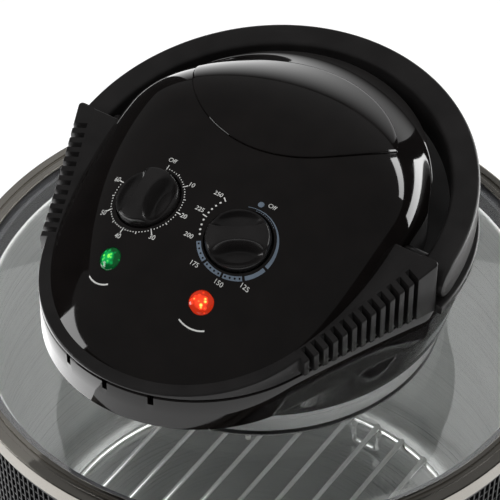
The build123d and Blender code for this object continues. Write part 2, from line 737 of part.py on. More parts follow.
with BuildPart() as lid_arm:
    with BuildSketch(Plane.YZ):
        with BuildLine():
            Polyline(
                (BAND_R - ARM_T, RIM_Z + ARM_TOP),
                (BAND_R + ARM_T, RIM_Z + ARM_TOP),
                (HINGE_Y + HINGE_KNUCKLE_R, HINGE_Z),
                (HINGE_Y, HINGE_Z),
                (BAND_R, RIM_Z + BAND_FOOT_Z),
                (BAND_R - ARM_T, RIM_Z + BAND_FOOT_Z),
                close=True,
            )
        make_face()
        with Locations((HINGE_Y, HINGE_Z)):
            Circle(HINGE_KNUCKLE_R)
    extrude(amount=HINGE_ARM_W / 2, both=True)
    with Locations(at(0)):
        Cylinder(BAND_R + SEAT_GAP, 2 * HINGE_DROP, mode=Mode.SUBTRACT)
    with Locations(Location((0, HINGE_Y, HINGE_Z), (0, 90, 0))):
        Cylinder(HINGE_PIN_R + RUN_GAP, 2 * HINGE_ARM_W, mode=Mode.SUBTRACT)
    for x in (-ARM_SCREW_X, ARM_SCREW_X):
        with Locations(rear_plane(x, BAND_R + ARM_T, RIM_Z + ARM_SCREW_Z)):
            peg(SCREW_R + RUN_GAP, -2 * ARM_T, mode=Mode.SUBTRACT)
            peg(SCREW_HEAD_R + RUN_GAP, 2 * ARM_T, mode=Mode.SUBTRACT)
save(lid_arm, "lid_arm")

with BuildPart() as arm_screws:
    for x in (-ARM_SCREW_X, ARM_SCREW_X):
        with Locations(rear_plane(x, BAND_R + ARM_T, RIM_Z + ARM_SCREW_Z)):
            peg(SCREW_HEAD_R, SCREW_HEAD_T)
            peg(SCREW_R, -ARM_SCREW_L)
save(arm_screws, "arm_screws")


# ================================================================ lid: glass, rim band, seal
def glass_top(radius):
    """Height of the glass's upper face above the rim plane."""
    share = (GLASS_R**2 - radius**2) / (GLASS_R**2 - GLASS_HOLE_R**2)
    return GLASS_EDGE_Z + GLASS_RISE * share


with BuildPart() as lid_glass:
    with BuildSketch(Plane.XZ):
        with BuildLine():
            middle = (GLASS_R + GLASS_HOLE_R) / 2
            for face_z in (RIM_Z, RIM_Z - GLASS_T):
                ThreePointArc(*[(radius, face_z + glass_top(radius))
                                for radius in (GLASS_HOLE_R, middle, GLASS_R)])
            for radius in (GLASS_HOLE_R, GLASS_R):
                edge_z = RIM_Z + glass_top(radius)
                Line((radius, edge_z), (radius, edge_z - GLASS_T))
        make_face()
    revolve(axis=Axis.Z)
save(lid_glass, "lid_glass")

with BuildPart() as rim_band:
    slot_top = GLASS_EDGE_Z + SEAT_GAP
    lathe(
        (BAND_LIP_R, glass_top(BAND_LIP_R) + SEAT_GAP),
        (BAND_LIP_R + BAND_BEVEL, BAND_TOP_Z),
        (GROOVE_R - GROOVE_W / 2, BAND_TOP_Z),
        (GROOVE_R - GROOVE_W / 2, BAND_TOP_Z - GROOVE_D),
        (GROOVE_R + GROOVE_W / 2, BAND_TOP_Z - GROOVE_D),
        (GROOVE_R + GROOVE_W / 2, BAND_TOP_Z),
        (BAND_R - BAND_ROUND_W, BAND_TOP_Z - BAND_FALL),
        (BAND_R, BAND_TOP_Z - BAND_FALL - BAND_ROUND_H),
        (BAND_R, BAND_FOOT_Z),
        (GLASS_R + SEAT_GAP, BAND_FOOT_Z),
        (GLASS_R + SEAT_GAP, slot_top),
        base=RIM_Z,
    )
    for x in (-ARM_SCREW_X, ARM_SCREW_X):
        with Locations(rear_plane(x, BAND_R + ARM_T, RIM_Z + ARM_SCREW_Z)):
            peg(SCREW_R + RUN_GAP, -ARM_SCREW_L - RUN_GAP, mode=Mode.SUBTRACT)
save(rim_band, "rim_band")

with BuildPart() as rim_seal:
    seat_z = GLASS_EDGE_Z - GLASS_T - SEAT_GAP
    lathe(
        (BOWL_R + SEAL_IN, -SEAT_DROP),
        (GLASS_R, -SEAT_DROP),
        (GLASS_R, seat_z),
        (GLASS_R - SEAL_W, seat_z),
        (BOWL_R + SEAL_IN, -SEAT_DROP + SEAL_EDGE),
        base=RIM_Z,
    )
save(rim_seal, "rim_seal")


# ================================================================ heater chamber under the head
with BuildPart() as collar:
    foot_z = glass_top(COLLAR_R - SHEET) + SEAT_GAP
    lathe(
        (COLLAR_R, foot_z),
        (COLLAR_TOP_R, HOUSING_Z),
        (CLAMP_R + SHEET + MOVE_GAP, HOUSING_Z),
        (CLAMP_R + SHEET + MOVE_GAP, HOUSING_Z - SHEET),
        (COLLAR_TOP_R - SHEET, HOUSING_Z - SHEET),
        (COLLAR_R - SHEET, foot_z),
        base=RIM_Z,
    )
save(collar, "collar")

CLAMP_FOOT_Z = glass_top(CLAMP_FOOT_R) - GLASS_T - SEAT_GAP - SHEET
with BuildPart() as glass_clamp:
    lathe(
        (CLAMP_R, HOUSING_Z),
        (CLAMP_R + SHEET, HOUSING_Z),
        (CLAMP_R + SHEET, CLAMP_FOOT_Z + SHEET),
        (CLAMP_FOOT_R, CLAMP_FOOT_Z + SHEET),
        (CLAMP_FOOT_R, CLAMP_FOOT_Z),
        (CLAMP_R, CLAMP_FOOT_Z),
        base=RIM_Z,
    )
save(glass_clamp, "glass_clamp")

REFLECTOR_TOP_Z = HOUSING_Z - BOARD_T
with BuildPart() as heat_board:
    with BuildSketch(at(REFLECTOR_TOP_Z)):
        Circle(CLAMP_R - MOVE_GAP)
        Circle(SHAFT_HOLE_R, mode=Mode.SUBTRACT)
    extrude(amount=BOARD_T)
save(heat_board, "heat_board")

with BuildPart() as reflector:
    lathe(
        (SHAFT_HOLE_R, REFLECTOR_TOP_Z - SHEET),
        (REFLECTOR_R - REFLECTOR_BEND, REFLECTOR_TOP_Z - SHEET),
        (REFLECTOR_R - SHEET, REFLECTOR_TOP_Z - REFLECTOR_BEND),
        (REFLECTOR_R - SHEET, REFLECTOR_FOOT_Z),
        (REFLECTOR_R, REFLECTOR_FOOT_Z),
        (REFLECTOR_R, REFLECTOR_TOP_Z - REFLECTOR_BEND + SHEET / 2),
        (REFLECTOR_R - REFLECTOR_BEND + SHEET / 2, REFLECTOR_TOP_Z),
        (SHAFT_HOLE_R, REFLECTOR_TOP_Z),
        base=RIM_Z,
    )
save(reflector, "reflector")

with BuildPart() as halogen_tube:
    with BuildSketch(Plane.XZ):
        with Locations((TUBE_RING_R, RIM_Z + TUBE_Z)):
            Circle(TUBE_R)
    revolve(axis=Axis.Z, revolution_arc=TUBE_ARC)
save(halogen_tube, "halogen_tube")

with BuildPart() as tube_holders:
    holder_z = REFLECTOR_TOP_Z - SHEET
    for end, step in ((0.0, -1), (TUBE_ARC, 1)):
        with Locations(Location((0, 0, RIM_Z + holder_z), (0, 0, end))):
            with Locations((TUBE_RING_R, step * HOLDER_W / 2, 0)):
                Box(HOLDER_W, HOLDER_W, holder_z - TUBE_Z + HOLDER_W / 2,
                    align=(Align.CENTER, Align.CENTER, Align.MAX))
save(tube_holders, "tube_holders")

with BuildPart() as guard_rings:
    with Locations((0, 0, RIM_Z + CLAMP_FOOT_Z - GUARD_WIRE_R)):
        for i in range(GUARD_RINGS):
            Torus(GUARD_R * (i + 1) / GUARD_RINGS, GUARD_WIRE_R)
save(guard_rings, "guard_rings")

with BuildPart() as guard_spokes:
    spoke_z = RIM_Z + CLAMP_FOOT_Z - 3 * GUARD_WIRE_R
    with Locations((0, 0, spoke_z)):
        Cylinder(GUARD_HUB_R, 2 * GUARD_WIRE_R)
    for i in range(GUARD_SPOKES):
        with Locations(Location((0, 0, spoke_z), (0, 0, 360 * i / GUARD_SPOKES))):
            with Locations(Location((GUARD_HUB_R / 2, 0, 0), (0, 90, 0))):
                peg(GUARD_WIRE_R, GUARD_R)
save(guard_spokes, "guard_spokes")


# ================================================================ lower housing of the head
def outline_face(outline, height):
    """Face inside a plan outline, at a height above the rim plane."""
    with BuildSketch(at(height)) as face:
        with BuildLine():
            add(outline)
        make_face()
    return face.sketch


def housing_form(inset=0.0):
    """Outer or inner form of the lower housing: a round foot that spreads to the walls."""
    foot = outline_face(round_outline(HOUSING_R - inset), HOUSING_Z + HOUSING_BAND)
    wall = outline_face(head_outline(inset), WALL_FOOT_Z)
    with BuildPart() as form:
        loft(sections=[foot, wall], ruled=True)
        extrude(foot, amount=inset - HOUSING_BAND)
        extrude(wall, amount=SPLIT_Z - WALL_FOOT_Z)
    return form.part


with BuildPart() as lower_housing:
    add(housing_form())
    add(housing_form(PLASTIC), mode=Mode.SUBTRACT)
    with Locations(*[(x, y, RIM_Z + HOUSING_Z) for x, y in POSTS]):
        peg(POST_R, SPLIT_Z - HOUSING_Z)
        peg(SCREW_R + RUN_GAP, SPLIT_Z - HOUSING_Z, mode=Mode.SUBTRACT)
        peg(SCREW_HEAD_R + RUN_GAP, POST_SINK, mode=Mode.SUBTRACT)
    with Locations(at(HOUSING_Z)):
        peg(SHAFT_HOLE_R, PLASTIC, mode=Mode.SUBTRACT)
    for x in (-NOTCH_X, 0, NOTCH_X):
        with Locations((x, NOSE_Y - NOSE_R, RIM_Z + SPLIT_Z)):
            Box(NOTCH_W, 2 * NOTCH_H, NOTCH_H, mode=Mode.SUBTRACT,
                align=(Align.CENTER, Align.CENTER, Align.MAX))
    with Locations(rear_plane(0, GLAND_Y, RIM_Z + GLAND_Z)):
        peg(GLAND_R + RUN_GAP, -GLAND_L, mode=Mode.SUBTRACT)
save(lower_housing, "lower_housing")


# ================================================================ top cover
def under_lip(drop=0.0):
    """Everything ahead of the side blocks' rear faces and under the lip's curved surface."""
    front_y = NOSE_Y - NOSE_R
    with BuildPart() as form:
        with BuildSketch(Plane.YZ):
            with BuildLine():
                curve = ThreePointArc(
                    (front_y, RIM_Z + LIP_FRONT_Z - drop),
                    (LIP_MID_Y, RIM_Z + LIP_MID_Z - drop),
                    (WALL_END_Y, RIM_Z + LIP_REAR_Z - drop),
                )
                Polyline(
                    curve @ 1,
                    (WALL_END_Y, RIM_Z),
                    (2 * front_y, RIM_Z),
                    (2 * front_y, RIM_Z + LIP_FRONT_Z - drop),
                    curve @ 0,
                )
            make_face()
        extrude(amount=2 * WALL_END_X, both=True)
    return form.part


def side_walls(inset=0.0):
    """The side blocks and lip, drawn in by an inset."""
    with BuildPart() as blocks:
        extrude(outline_face(head_outline(inset), SPLIT_Z), amount=2 * LIP_REAR_Z)
        add(under_lip(inset), mode=Mode.INTERSECT)
        if inset:
            with Locations((0, WALL_END_Y - inset, RIM_Z)):
                Box(4 * WALL_END_X, WALL_END_X, 4 * LIP_REAR_Z, mode=Mode.SUBTRACT,
                    align=(Align.CENTER, Align.MIN, Align.CENTER))
    return blocks.part


def vent_block():
    """Room for one side's fins, cut through the right-hand wall above its ledge."""
    wall = wall_plane()
    run = (VENT_FINS - 1) * VENT_PITCH
    end = (VENT_PITCH - VENT_SLOT) / 2
    with BuildPart() as block:
        with BuildSketch(wall.offset(SPLIT_Z + VENT_FLOOR)):
            with Locations((VENT_PROUD, VENT_FIRST - end)):
                Rectangle(VENT_PROUD + VENT_DEPTH, run + 2 * end, align=(Align.MAX, Align.MIN))
        extrude(amount=LIP_REAR_Z)
    return block.part


timer_plane = crown_plane(-DIAL_X, DIAL_Y)
heat_plane = crown_plane(DIAL_X, DIAL_Y)
lamp_planes = (crown_plane(-LAMP_X, LAMP_Y), crown_plane(LAMP_X, LAMP_Y))
crown = crown_solid()
vent_room = vent_block()

with BuildPart() as fittings:
    with Locations(timer_plane, heat_plane):
        peg(DIAL_R + PLASTIC, -DIAL_DEPTH - PLASTIC)
        peg(DIAL_R + PLASTIC, CROWN_H)
    with Locations(*[(x, y, RIM_Z + SPLIT_Z) for x, y in POSTS[:2]]):
        peg(POST_R, CROWN_FRONT)
    add(crown, mode=Mode.INTERSECT)

with BuildPart() as top_cover:
    add(crown)
    add(side_walls())
    with BuildSketch(at(SPLIT_Z)):
        Circle(FLANGE_R)
        with Locations((0, WALL_END_Y)):
            Rectangle(4 * FLANGE_R, 2 * FLANGE_R, align=(Align.CENTER, Align.MAX),
                      mode=Mode.SUBTRACT)
    extrude(amount=FLANGE_T)
    for side in (-1, 1):
        with Locations((side * LUG_X, PIVOT_Y, RIM_Z + SPLIT_Z)):
            Box(LUG_W + LUG_ROOT, 2 * LUG_HALF, PIVOT_Z + LUG_HALF - SPLIT_Z,
                align=(Align.MAX if side > 0 else Align.MIN, Align.CENTER, Align.MIN))
    add(crown_solid(PLASTIC), mode=Mode.SUBTRACT)
    add(side_walls(PLASTIC), mode=Mode.SUBTRACT)
    add(vent_room, mode=Mode.SUBTRACT)
    add(vent_room.mirror(Plane.YZ), mode=Mode.SUBTRACT)
    add(fittings.part)
    with Locations(timer_plane, heat_plane):
        with Locations((0, 0, -DIAL_DEPTH)):
            peg(DIAL_R, CROWN_H, mode=Mode.SUBTRACT)
        peg(KNOB_SHAFT_R + MOVE_GAP, -DIAL_DEPTH - 2 * PLASTIC, mode=Mode.SUBTRACT)
    with Locations(*lamp_planes):
        peg(LAMP_R + RUN_GAP, -3 * PLASTIC, mode=Mode.SUBTRACT)
        peg(LAMP_R + RUN_GAP, 3 * PLASTIC, mode=Mode.SUBTRACT)
    with Locations(*[(x, y, RIM_Z + SPLIT_Z) for x, y in POSTS]):
        peg(SCREW_R + RUN_GAP, POST_THREAD, mode=Mode.SUBTRACT)
    with Locations(Location((0, PIVOT_Y, RIM_Z + PIVOT_Z), (0, 90, 0))):
        for side in (-1, 1):
            with Locations((0, 0, side * PIN_IN_X)):
                peg(HANDLE_PIN_R + RUN_GAP, side * CROWN_HALF, mode=Mode.SUBTRACT)
    with Locations((*plunger_spot, RIM_Z + SPLIT_Z)):
        peg(PLUNGER_R + RUN_GAP, FLANGE_T, mode=Mode.SUBTRACT)
save(top_cover, "top_cover")

with BuildPart() as side_vent_right:
    add(vent_room)
    add(under_lip(), mode=Mode.INTERSECT)
    for i in range(VENT_FINS - 1):
        with Locations(wall_plane().offset(SPLIT_Z + VENT_FLOOR)):
            with Locations((VENT_PROUD, VENT_FIRST + (i + 0.5) * VENT_PITCH)):
                Box(2 * VENT_CUT, VENT_SLOT, 2 * LIP_REAR_Z, mode=Mode.SUBTRACT)
save(side_vent_right, "side_vent_right")

with BuildPart() as side_vent_left:
    mirror(side_vent_right.part, about=Plane.YZ)
save(side_vent_left, "side_vent_left")

with BuildPart() as cap_plate:
    add(crown_solid(lift=CAP_T + SEAT_GAP))
    add(crown_solid(lift=SEAT_GAP), mode=Mode.SUBTRACT)
    with BuildSketch(at(0)):
        with BuildLine():
            rear = CenterArc((0, 0), CAP_REAR_R, CAP_REAR_TURN, 180 - 2 * CAP_REAR_TURN)
            ThreePointArc(rear @ 0, (0, CAP_FRONT_Y), rear @ 1)
        make_face()
    extrude(amount=2 * CROWN_FRONT, mode=Mode.INTERSECT)
save(cap_plate, "cap_plate")


# ================================================================ motor and fans
with BuildPart() as motor_bracket:
    with Locations(at(MOTOR_Z)):
        peg(MOTOR_PLATE_R, -BRACKET_SHEET)
        peg(SHAFT_R + MOVE_GAP, -BRACKET_SHEET, mode=Mode.SUBTRACT)
    with Locations(at(HOUSING_Z + PLASTIC)):
        with PolarLocations(MOTOR_LEG_PCD / 2, MOTOR_LEGS):
            peg(MOTOR_LEG_R, MOTOR_Z - BRACKET_SHEET - HOUSING_Z - PLASTIC)
save(motor_bracket, "motor_bracket")

with BuildPart() as motor:
    with Locations(at(MOTOR_Z)):
        peg(MOTOR_R, MOTOR_H)
    with Locations(at(MOTOR_Z + MOTOR_H)):
        peg(MOTOR_BOSS_R, MOTOR_BOSS_H)
    with Locations(at(MOTOR_Z)):
        peg(SHAFT_R + RUN_GAP, 2 * MOTOR_H, mode=Mode.SUBTRACT)
save(motor, "motor")

with BuildPart() as motor_shaft:
    with Locations(at(SHAFT_FOOT_Z)):
        peg(SHAFT_R, SHAFT_L)
save(motor_shaft, "motor_shaft")


def fan(height, hub_r, tip_r, blades):
    """Hub with pitched blades, added to the piece being built."""
    root_r = hub_r - BLADE_ROOT
    with Locations(at(height)):
        peg(hub_r, FAN_HUB_H)
    for i in range(blades):
        turn = (0, 0, 360 * i / blades)
        with Locations(Location((0, 0, RIM_Z + height + FAN_HUB_H / 2), turn)):
            with Locations(Location(((root_r + tip_r) / 2, 0, 0), (FAN_PITCH, 0, 0))):
                Box(tip_r - root_r, FAN_CHORD, SHEET)
    with Locations(at(height)):
        peg(SHAFT_R + RUN_GAP, FAN_HUB_H, mode=Mode.SUBTRACT)


with BuildPart() as circulation_fan:
    fan(HOT_FAN_Z, HOT_HUB_R, HOT_TIP_R, HOT_BLADES)
save(circulation_fan, "circulation_fan")

with BuildPart() as cooling_fan:
    fan(COOL_FAN_Z, COOL_HUB_R, COOL_TIP_R, COOL_BLADES)
save(cooling_fan, "cooling_fan")


# ================================================================ controls
def knob(plane, grip_angle):
    """Round skirt in the recess with a domed grip bar across it, added to the piece."""
    with Locations(plane.offset(KNOB_FOOT)):
        peg(KNOB_R, KNOB_SKIRT)
    with BuildSketch(plane.offset(KNOB_FOOT + KNOB_SKIRT)) as grip:
        SlotOverall(2 * KNOB_GRIP_R, KNOB_GRIP_W, rotation=90 - grip_angle)
    extrude(grip.sketch, amount=KNOB_GRIP_H - KNOB_FOOT - KNOB_SKIRT)
    with Locations(plane.offset(KNOB_FOOT)):
        peg(KNOB_SHAFT_R + RUN_GAP, KNOB_BORE, mode=Mode.SUBTRACT)


def spindle(plane):
    """Shaft from the knob's bore down into its switch, added to the piece."""
    with Locations(plane.offset(KNOB_FOOT + KNOB_BORE)):
        peg(KNOB_SHAFT_R, -KNOB_SHAFT_L)


with BuildPart() as timer_knob:
    knob(timer_plane, TIMER_ANGLE)
    top = timer_knob.faces().sort_by(Axis((0, 0, 0), timer_plane.z_dir))[-1]
    fillet(top.edges(), radius=KNOB_ROUND)
save(timer_knob, "timer_knob")

with BuildPart() as heat_knob:
    knob(heat_plane, HEAT_ANGLE)
    top = heat_knob.faces().sort_by(Axis((0, 0, 0), heat_plane.z_dir))[-1]
    fillet(top.edges(), radius=KNOB_ROUND)
save(heat_knob, "heat_knob")

with BuildPart() as timer_shaft:
    spindle(timer_plane)
save(timer_shaft, "timer_shaft")

with BuildPart() as heat_shaft:
    spindle(heat_plane)
save(heat_shaft, "heat_shaft")

with BuildPart() as timer_unit:
    with Locations(timer_plane.offset(-DIAL_DEPTH - PLASTIC)):
        Box(UNIT_SIZE, UNIT_SIZE, UNIT_DEEP, align=(Align.CENTER, Align.CENTER, Align.MAX))
        peg(KNOB_SHAFT_R + RUN_GAP, -UNIT_DEEP, mode=Mode.SUBTRACT)
save(timer_unit, "timer_unit")

with BuildPart() as thermostat:
    with Locations(heat_plane.offset(-DIAL_DEPTH - PLASTIC)):
        peg(THERMOSTAT_R, -UNIT_DEEP)
        peg(KNOB_SHAFT_R + RUN_GAP, -UNIT_DEEP, mode=Mode.SUBTRACT)
save(thermostat, "thermostat")


def lamp(plane):
    """Lens with a shallow dome, added to the piece being built."""
    ball_r = (LAMP_R**2 + LAMP_DOME**2) / (2 * LAMP_DOME)
    with Locations(plane.offset(-LAMP_DEEP)):
        peg(LAMP_R, LAMP_DEEP + LAMP_DOME)
    with Locations(plane.offset(LAMP_DOME - ball_r)):
        Sphere(ball_r, mode=Mode.INTERSECT)


with BuildPart() as timer_lamp:
    lamp(lamp_planes[0])
save(timer_lamp, "timer_lamp")

with BuildPart() as heat_lamp:
    lamp(lamp_planes[1])
save(heat_lamp, "heat_lamp")

with BuildPart() as lamp_bulbs:
    for plane in lamp_planes:
        with Locations(plane.offset(-LAMP_DEEP)):
            peg(BULB_R, -BULB_L)
save(lamp_bulbs, "lamp_bulbs")

with BuildPart() as terminal_block:
    with Locations((*TERMINAL_XY, RIM_Z + HOUSING_Z + PLASTIC)):
        Box(*TERMINAL_SIZE, align=(Align.CENTER, Align.CENTER, Align.MIN))
save(terminal_block, "terminal_block")

with BuildPart() as cable_gland:
    with Locations(rear_plane(0, GLAND_Y, RIM_Z + GLAND_Z)):
        peg(GLAND_FLANGE_R, GLAND_FLANGE_T)
        peg(GLAND_R, -GLAND_L)
        peg(GLAND_HOLE_R, GLAND_FLANGE_T, mode=Mode.SUBTRACT)
        peg(GLAND_HOLE_R, -GLAND_L, mode=Mode.SUBTRACT)
save(cable_gland, "cable_gland")

with BuildPart() as cover_screws:
    with Locations(*[(x, y, RIM_Z + HOUSING_Z + POST_SINK) for x, y in POSTS]):
        peg(SCREW_HEAD_R, -SCREW_HEAD_T)
        peg(SCREW_R, SPLIT_Z - HOUSING_Z - POST_SINK + POST_THREAD)
save(cover_screws, "cover_screws")


# ================================================================ handle and its safety switch
with BuildPart() as handle:
    with BuildSketch(at(SPLIT_Z)):
        Circle(HANDLE_IN_R + HANDLE_W)
        Circle(HANDLE_IN_R, mode=Mode.SUBTRACT)
        with Locations((0, PIVOT_Y)):
            Rectangle(4 * FLANGE_R, 2 * FLANGE_R, align=(Align.CENTER, Align.MAX),
                      mode=Mode.SUBTRACT)
    extrude(amount=HANDLE_IN_R)
    with Locations(Location((0, PIVOT_Y, RIM_Z + PIVOT_Z), (HANDLE_TILT, 0, 0))):
        Box(4 * FLANGE_R, 4 * FLANGE_R, HANDLE_H, mode=Mode.INTERSECT)
    with Locations(Location((0, PIVOT_Y, RIM_Z + PIVOT_Z), (0, 90, 0))):
        for side in (-1, 1):
            with Locations((0, 0, side * HANDLE_IN_R)):
                peg(HANDLE_H / 2, side * HANDLE_W)
            with Locations((0, 0, side * PIN_IN_X)):
                peg(HANDLE_PIN_R + RUN_GAP, side * (PIN_L + MOVE_GAP), mode=Mode.SUBTRACT)
save(handle, "handle")

with BuildPart() as handle_pins:
    with Locations(Location((0, PIVOT_Y, RIM_Z + PIVOT_Z), (0, 90, 0))):
        for side in (-1, 1):
            with Locations((0, 0, side * PIN_IN_X)):
                peg(HANDLE_PIN_R, side * PIN_L)
save(handle_pins, "handle_pins")

with BuildPart() as safety_switch:
    with Locations(radial_plane(PLUNGER_TURN, SWITCH_R, RIM_Z + SPLIT_Z - SWITCH_H / 2)):
        Box(SWITCH_W, SWITCH_H, SWITCH_T, align=(Align.CENTER, Align.CENTER, Align.MIN))
    with Locations((*plunger_spot, RIM_Z + SPLIT_Z)):
        peg(PLUNGER_R + RUN_GAP, -SWITCH_BORE, mode=Mode.SUBTRACT)
save(safety_switch, "safety_switch")

with BuildPart() as safety_plunger:
    with Locations((*plunger_spot, RIM_Z + PLUNGER_TOP_Z)):
        peg(PLUNGER_R, -PLUNGER_L)
save(safety_plunger, "safety_plunger")
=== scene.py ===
"""Dresses the halogen oven: one operator builds each piece or group of like pieces, riding on
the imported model's bodies.  Lengths inside the shape functions are millimetres in the model's
frame; make_mesh turns them into metres."""
import math
from math import atan2, cos, hypot, pi, radians, sin, sqrt, tan

import bmesh
import bpy
from bpy.props import FloatProperty, FloatVectorProperty, IntProperty, PointerProperty
from mathutils import Matrix, Vector


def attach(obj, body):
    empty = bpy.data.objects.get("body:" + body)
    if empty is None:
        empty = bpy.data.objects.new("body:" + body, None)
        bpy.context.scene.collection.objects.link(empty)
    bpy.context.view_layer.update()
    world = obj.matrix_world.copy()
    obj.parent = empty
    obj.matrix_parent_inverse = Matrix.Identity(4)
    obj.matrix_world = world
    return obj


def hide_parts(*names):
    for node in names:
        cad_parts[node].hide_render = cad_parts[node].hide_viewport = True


bl_info = {
    "name": "Halogen Oven Dresser",
    "version": (1, 0, 0),
    "blender": (4, 5, 0),
    "location": "3D View > Sidebar > Oven",
    "description": "Builds the visible pieces and finishes of a countertop halogen oven",
    "category": "Object",
}

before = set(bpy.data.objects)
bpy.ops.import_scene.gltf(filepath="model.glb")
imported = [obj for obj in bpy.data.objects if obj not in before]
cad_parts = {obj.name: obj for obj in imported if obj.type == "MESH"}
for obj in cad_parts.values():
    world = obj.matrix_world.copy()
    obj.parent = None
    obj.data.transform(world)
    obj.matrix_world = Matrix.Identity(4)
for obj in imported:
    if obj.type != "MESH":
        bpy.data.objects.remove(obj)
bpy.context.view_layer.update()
MM = 0.001

# ---------------------------------------------------------------- sizes shared with the model
RIM_Z = 260.0          # rim plane of the lid
BOWL_FLOOR = 20.0
SPLIT = 59.0           # joint between lower housing and top cover, above the rim plane
NOSE_R, NOSE_Y = 83.3, -58.0
WALL_X, WALL_Y = 109.9, -7.2
DIAL_X, DIAL_Y = 28.0, -62.4
LAMP_X, LAMP_Y = 28.2, -95.8
CROWN_FRONT, CROWN_HALF, CROWN_PEAK = 136.0, 90.0, 25.0
CROWN_H, CROWN_BASE = 37.0, 60.0
CROWN_SLOPE = tan(radians(11.5))
FOOT_SQUARENESS, FOOT_BLEND = 0.35, 0.45
PIVOT_Y, PIVOT_Z = 3.4, 76.0
HANDLE_IN, HANDLE_W, HANDLE_H, HANDLE_TILT = 100.3, 15.0, 20.0, radians(10.1)
LIP_NOSE = 61.5        # level of the lip at the nose, above the rim plane
LIP_RISE = (-141.3, 0.0), (-70.0, 13.3), (WALL_Y, 33.5)     # y and rise above that level


# ================================================================ crown geometry
def crown_base(y):
    return CROWN_BASE + CROWN_SLOPE * (y + CROWN_FRONT)


def crown_half(k):
    return CROWN_HALF * max(0.0, 1 - k**1.6) ** 0.25


def crown_reach(k, front):
    """How far the crown reaches ahead of or behind the axis at height fraction k."""
    if front:
        return CROWN_PEAK + (CROWN_FRONT - CROWN_PEAK) * max(0.0, 1 - k**1.11) ** (1 / 3)
    return CROWN_HALF * max(0.0, 1 - k**0.7) ** 0.5


def crown_power(k, front):
    """Squareness of the contour: at its foot the front follows the nose more closely."""
    if not front:
        return 2.0
    return 1.85 + FOOT_SQUARENESS * max(0.0, 1 - k / FOOT_BLEND) ** 1.5


def crown_contour(k, turn):
    """Plan point of the crown's contour at height fraction k."""
    c, s = cos(turn), sin(turn)
    power = 2 / crown_power(k, s < 0)
    x = math.copysign(crown_half(k) * abs(c) ** power, c)
    y = math.copysign(crown_reach(k, s < 0) * abs(s) ** power, s)
    return x, y


def crown_height(x, y):
    """Height of the crown above the rim plane at a plan point."""
    low, high = 0.0, 1.0
    for _ in range(30):
        k = (low + high) / 2
        power = crown_power(k, y < 0)
        reach = max(crown_reach(k, y < 0), 0.01)
        inside = (abs(x) / crown_half(k)) ** power + (abs(y) / reach) ** power < 1
        low, high = (k, high) if inside else (low, k)
    return crown_base(y) + low * CROWN_H


def crown_frame(x, y):
    """Matrix of a plane on the crown: local X across, local Y to the rear, local Z outwards."""
    dx = (crown_height(x + 1, y) - crown_height(x - 1, y)) / 2
    dy = (crown_height(x, y + 1) - crown_height(x, y - 1)) / 2
    normal = Vector((-dx, -dy, 1)).normalized()
    across = Vector((0, 1, 0)).cross(normal).normalized()
    up = normal.cross(across)
    place = Matrix((across, up, normal)).transposed().to_4x4()
    place.translation = Vector((x, y, RIM_Z + crown_height(x, y)))
    return place


TIMER_FRAME = crown_frame(-DIAL_X, DIAL_Y)
HEAT_FRAME = crown_frame(DIAL_X, DIAL_Y)


def nose_corner(grow=0.0):
    """Where the nose arc meets the straight side wall; a negative grow draws it in."""
    run = hypot(WALL_X, WALL_Y - NOSE_Y)
    turn = atan2(WALL_Y - NOSE_Y, WALL_X) - atan2(sqrt(run**2 - NOSE_R**2), NOSE_R)
    return (NOSE_R + grow) * cos(turn), NOSE_Y + (NOSE_R + grow) * sin(turn)


def head_outline(grow=0.0, count=240):
    """Plan of the head's walls as points, counter-clockwise from the rear right corner."""
    nose_x, nose_y = nose_corner(grow)
    start_x, start_y = nose_corner()
    along = Vector((WALL_X - start_x, WALL_Y - start_y)).normalized()
    end = Vector((WALL_X + grow / along.y, WALL_Y))
    rear_turn = atan2(end.y, end.x)
    arc = atan2(nose_y - NOSE_Y, nose_x)
    points = []
    n = count // 4
    for i in range(2 * n):
        t = rear_turn + (pi - 2 * rear_turn) * i / (2 * n)
        points.append((end.length * cos(t), end.length * sin(t)))
    for i in range(n // 2):
        f = i / (n // 2)
        points.append((-end.x + (end.x - nose_x) * f, end.y + (nose_y - end.y) * f))
    for i in range(n):
        t = pi - arc + (pi + 2 * arc) * i / n
        points.append(((NOSE_R + grow) * cos(t), NOSE_Y + (NOSE_R + grow) * sin(t)))
    for i in range(n // 2):
        f = i / (n // 2)
        points.append((nose_x + (end.x - nose_x) * f, nose_y + (end.y - nose_y) * f))
    return points


def lip_height(y):
    """Height of the lip's upper surface above the rim plane: an arc through three levels."""
    (x1, z1), (x2, z2), (x3, z3) = LIP_RISE
    d = 2 * (x1 * (z2 - z3) + x2 * (z3 - z1) + x3 * (z1 - z2))
    a, b, c = x1 * x1 + z1 * z1, x2 * x2 + z2 * z2, x3 * x3 + z3 * z3
    cx = (a * (z2 - z3) + b * (z3 - z1) + c * (z1 - z2)) / d
    cz = (a * (x3 - x2) + b * (x1 - x3) + c * (x2 - x1)) / d
    radius = hypot(x1 - cx, z1 - cz)
    side = 1 if cz < z1 else -1
    return LIP_NOSE + (cz + side * sqrt(max(0.0, radius**2 - (y - cx) ** 2)))


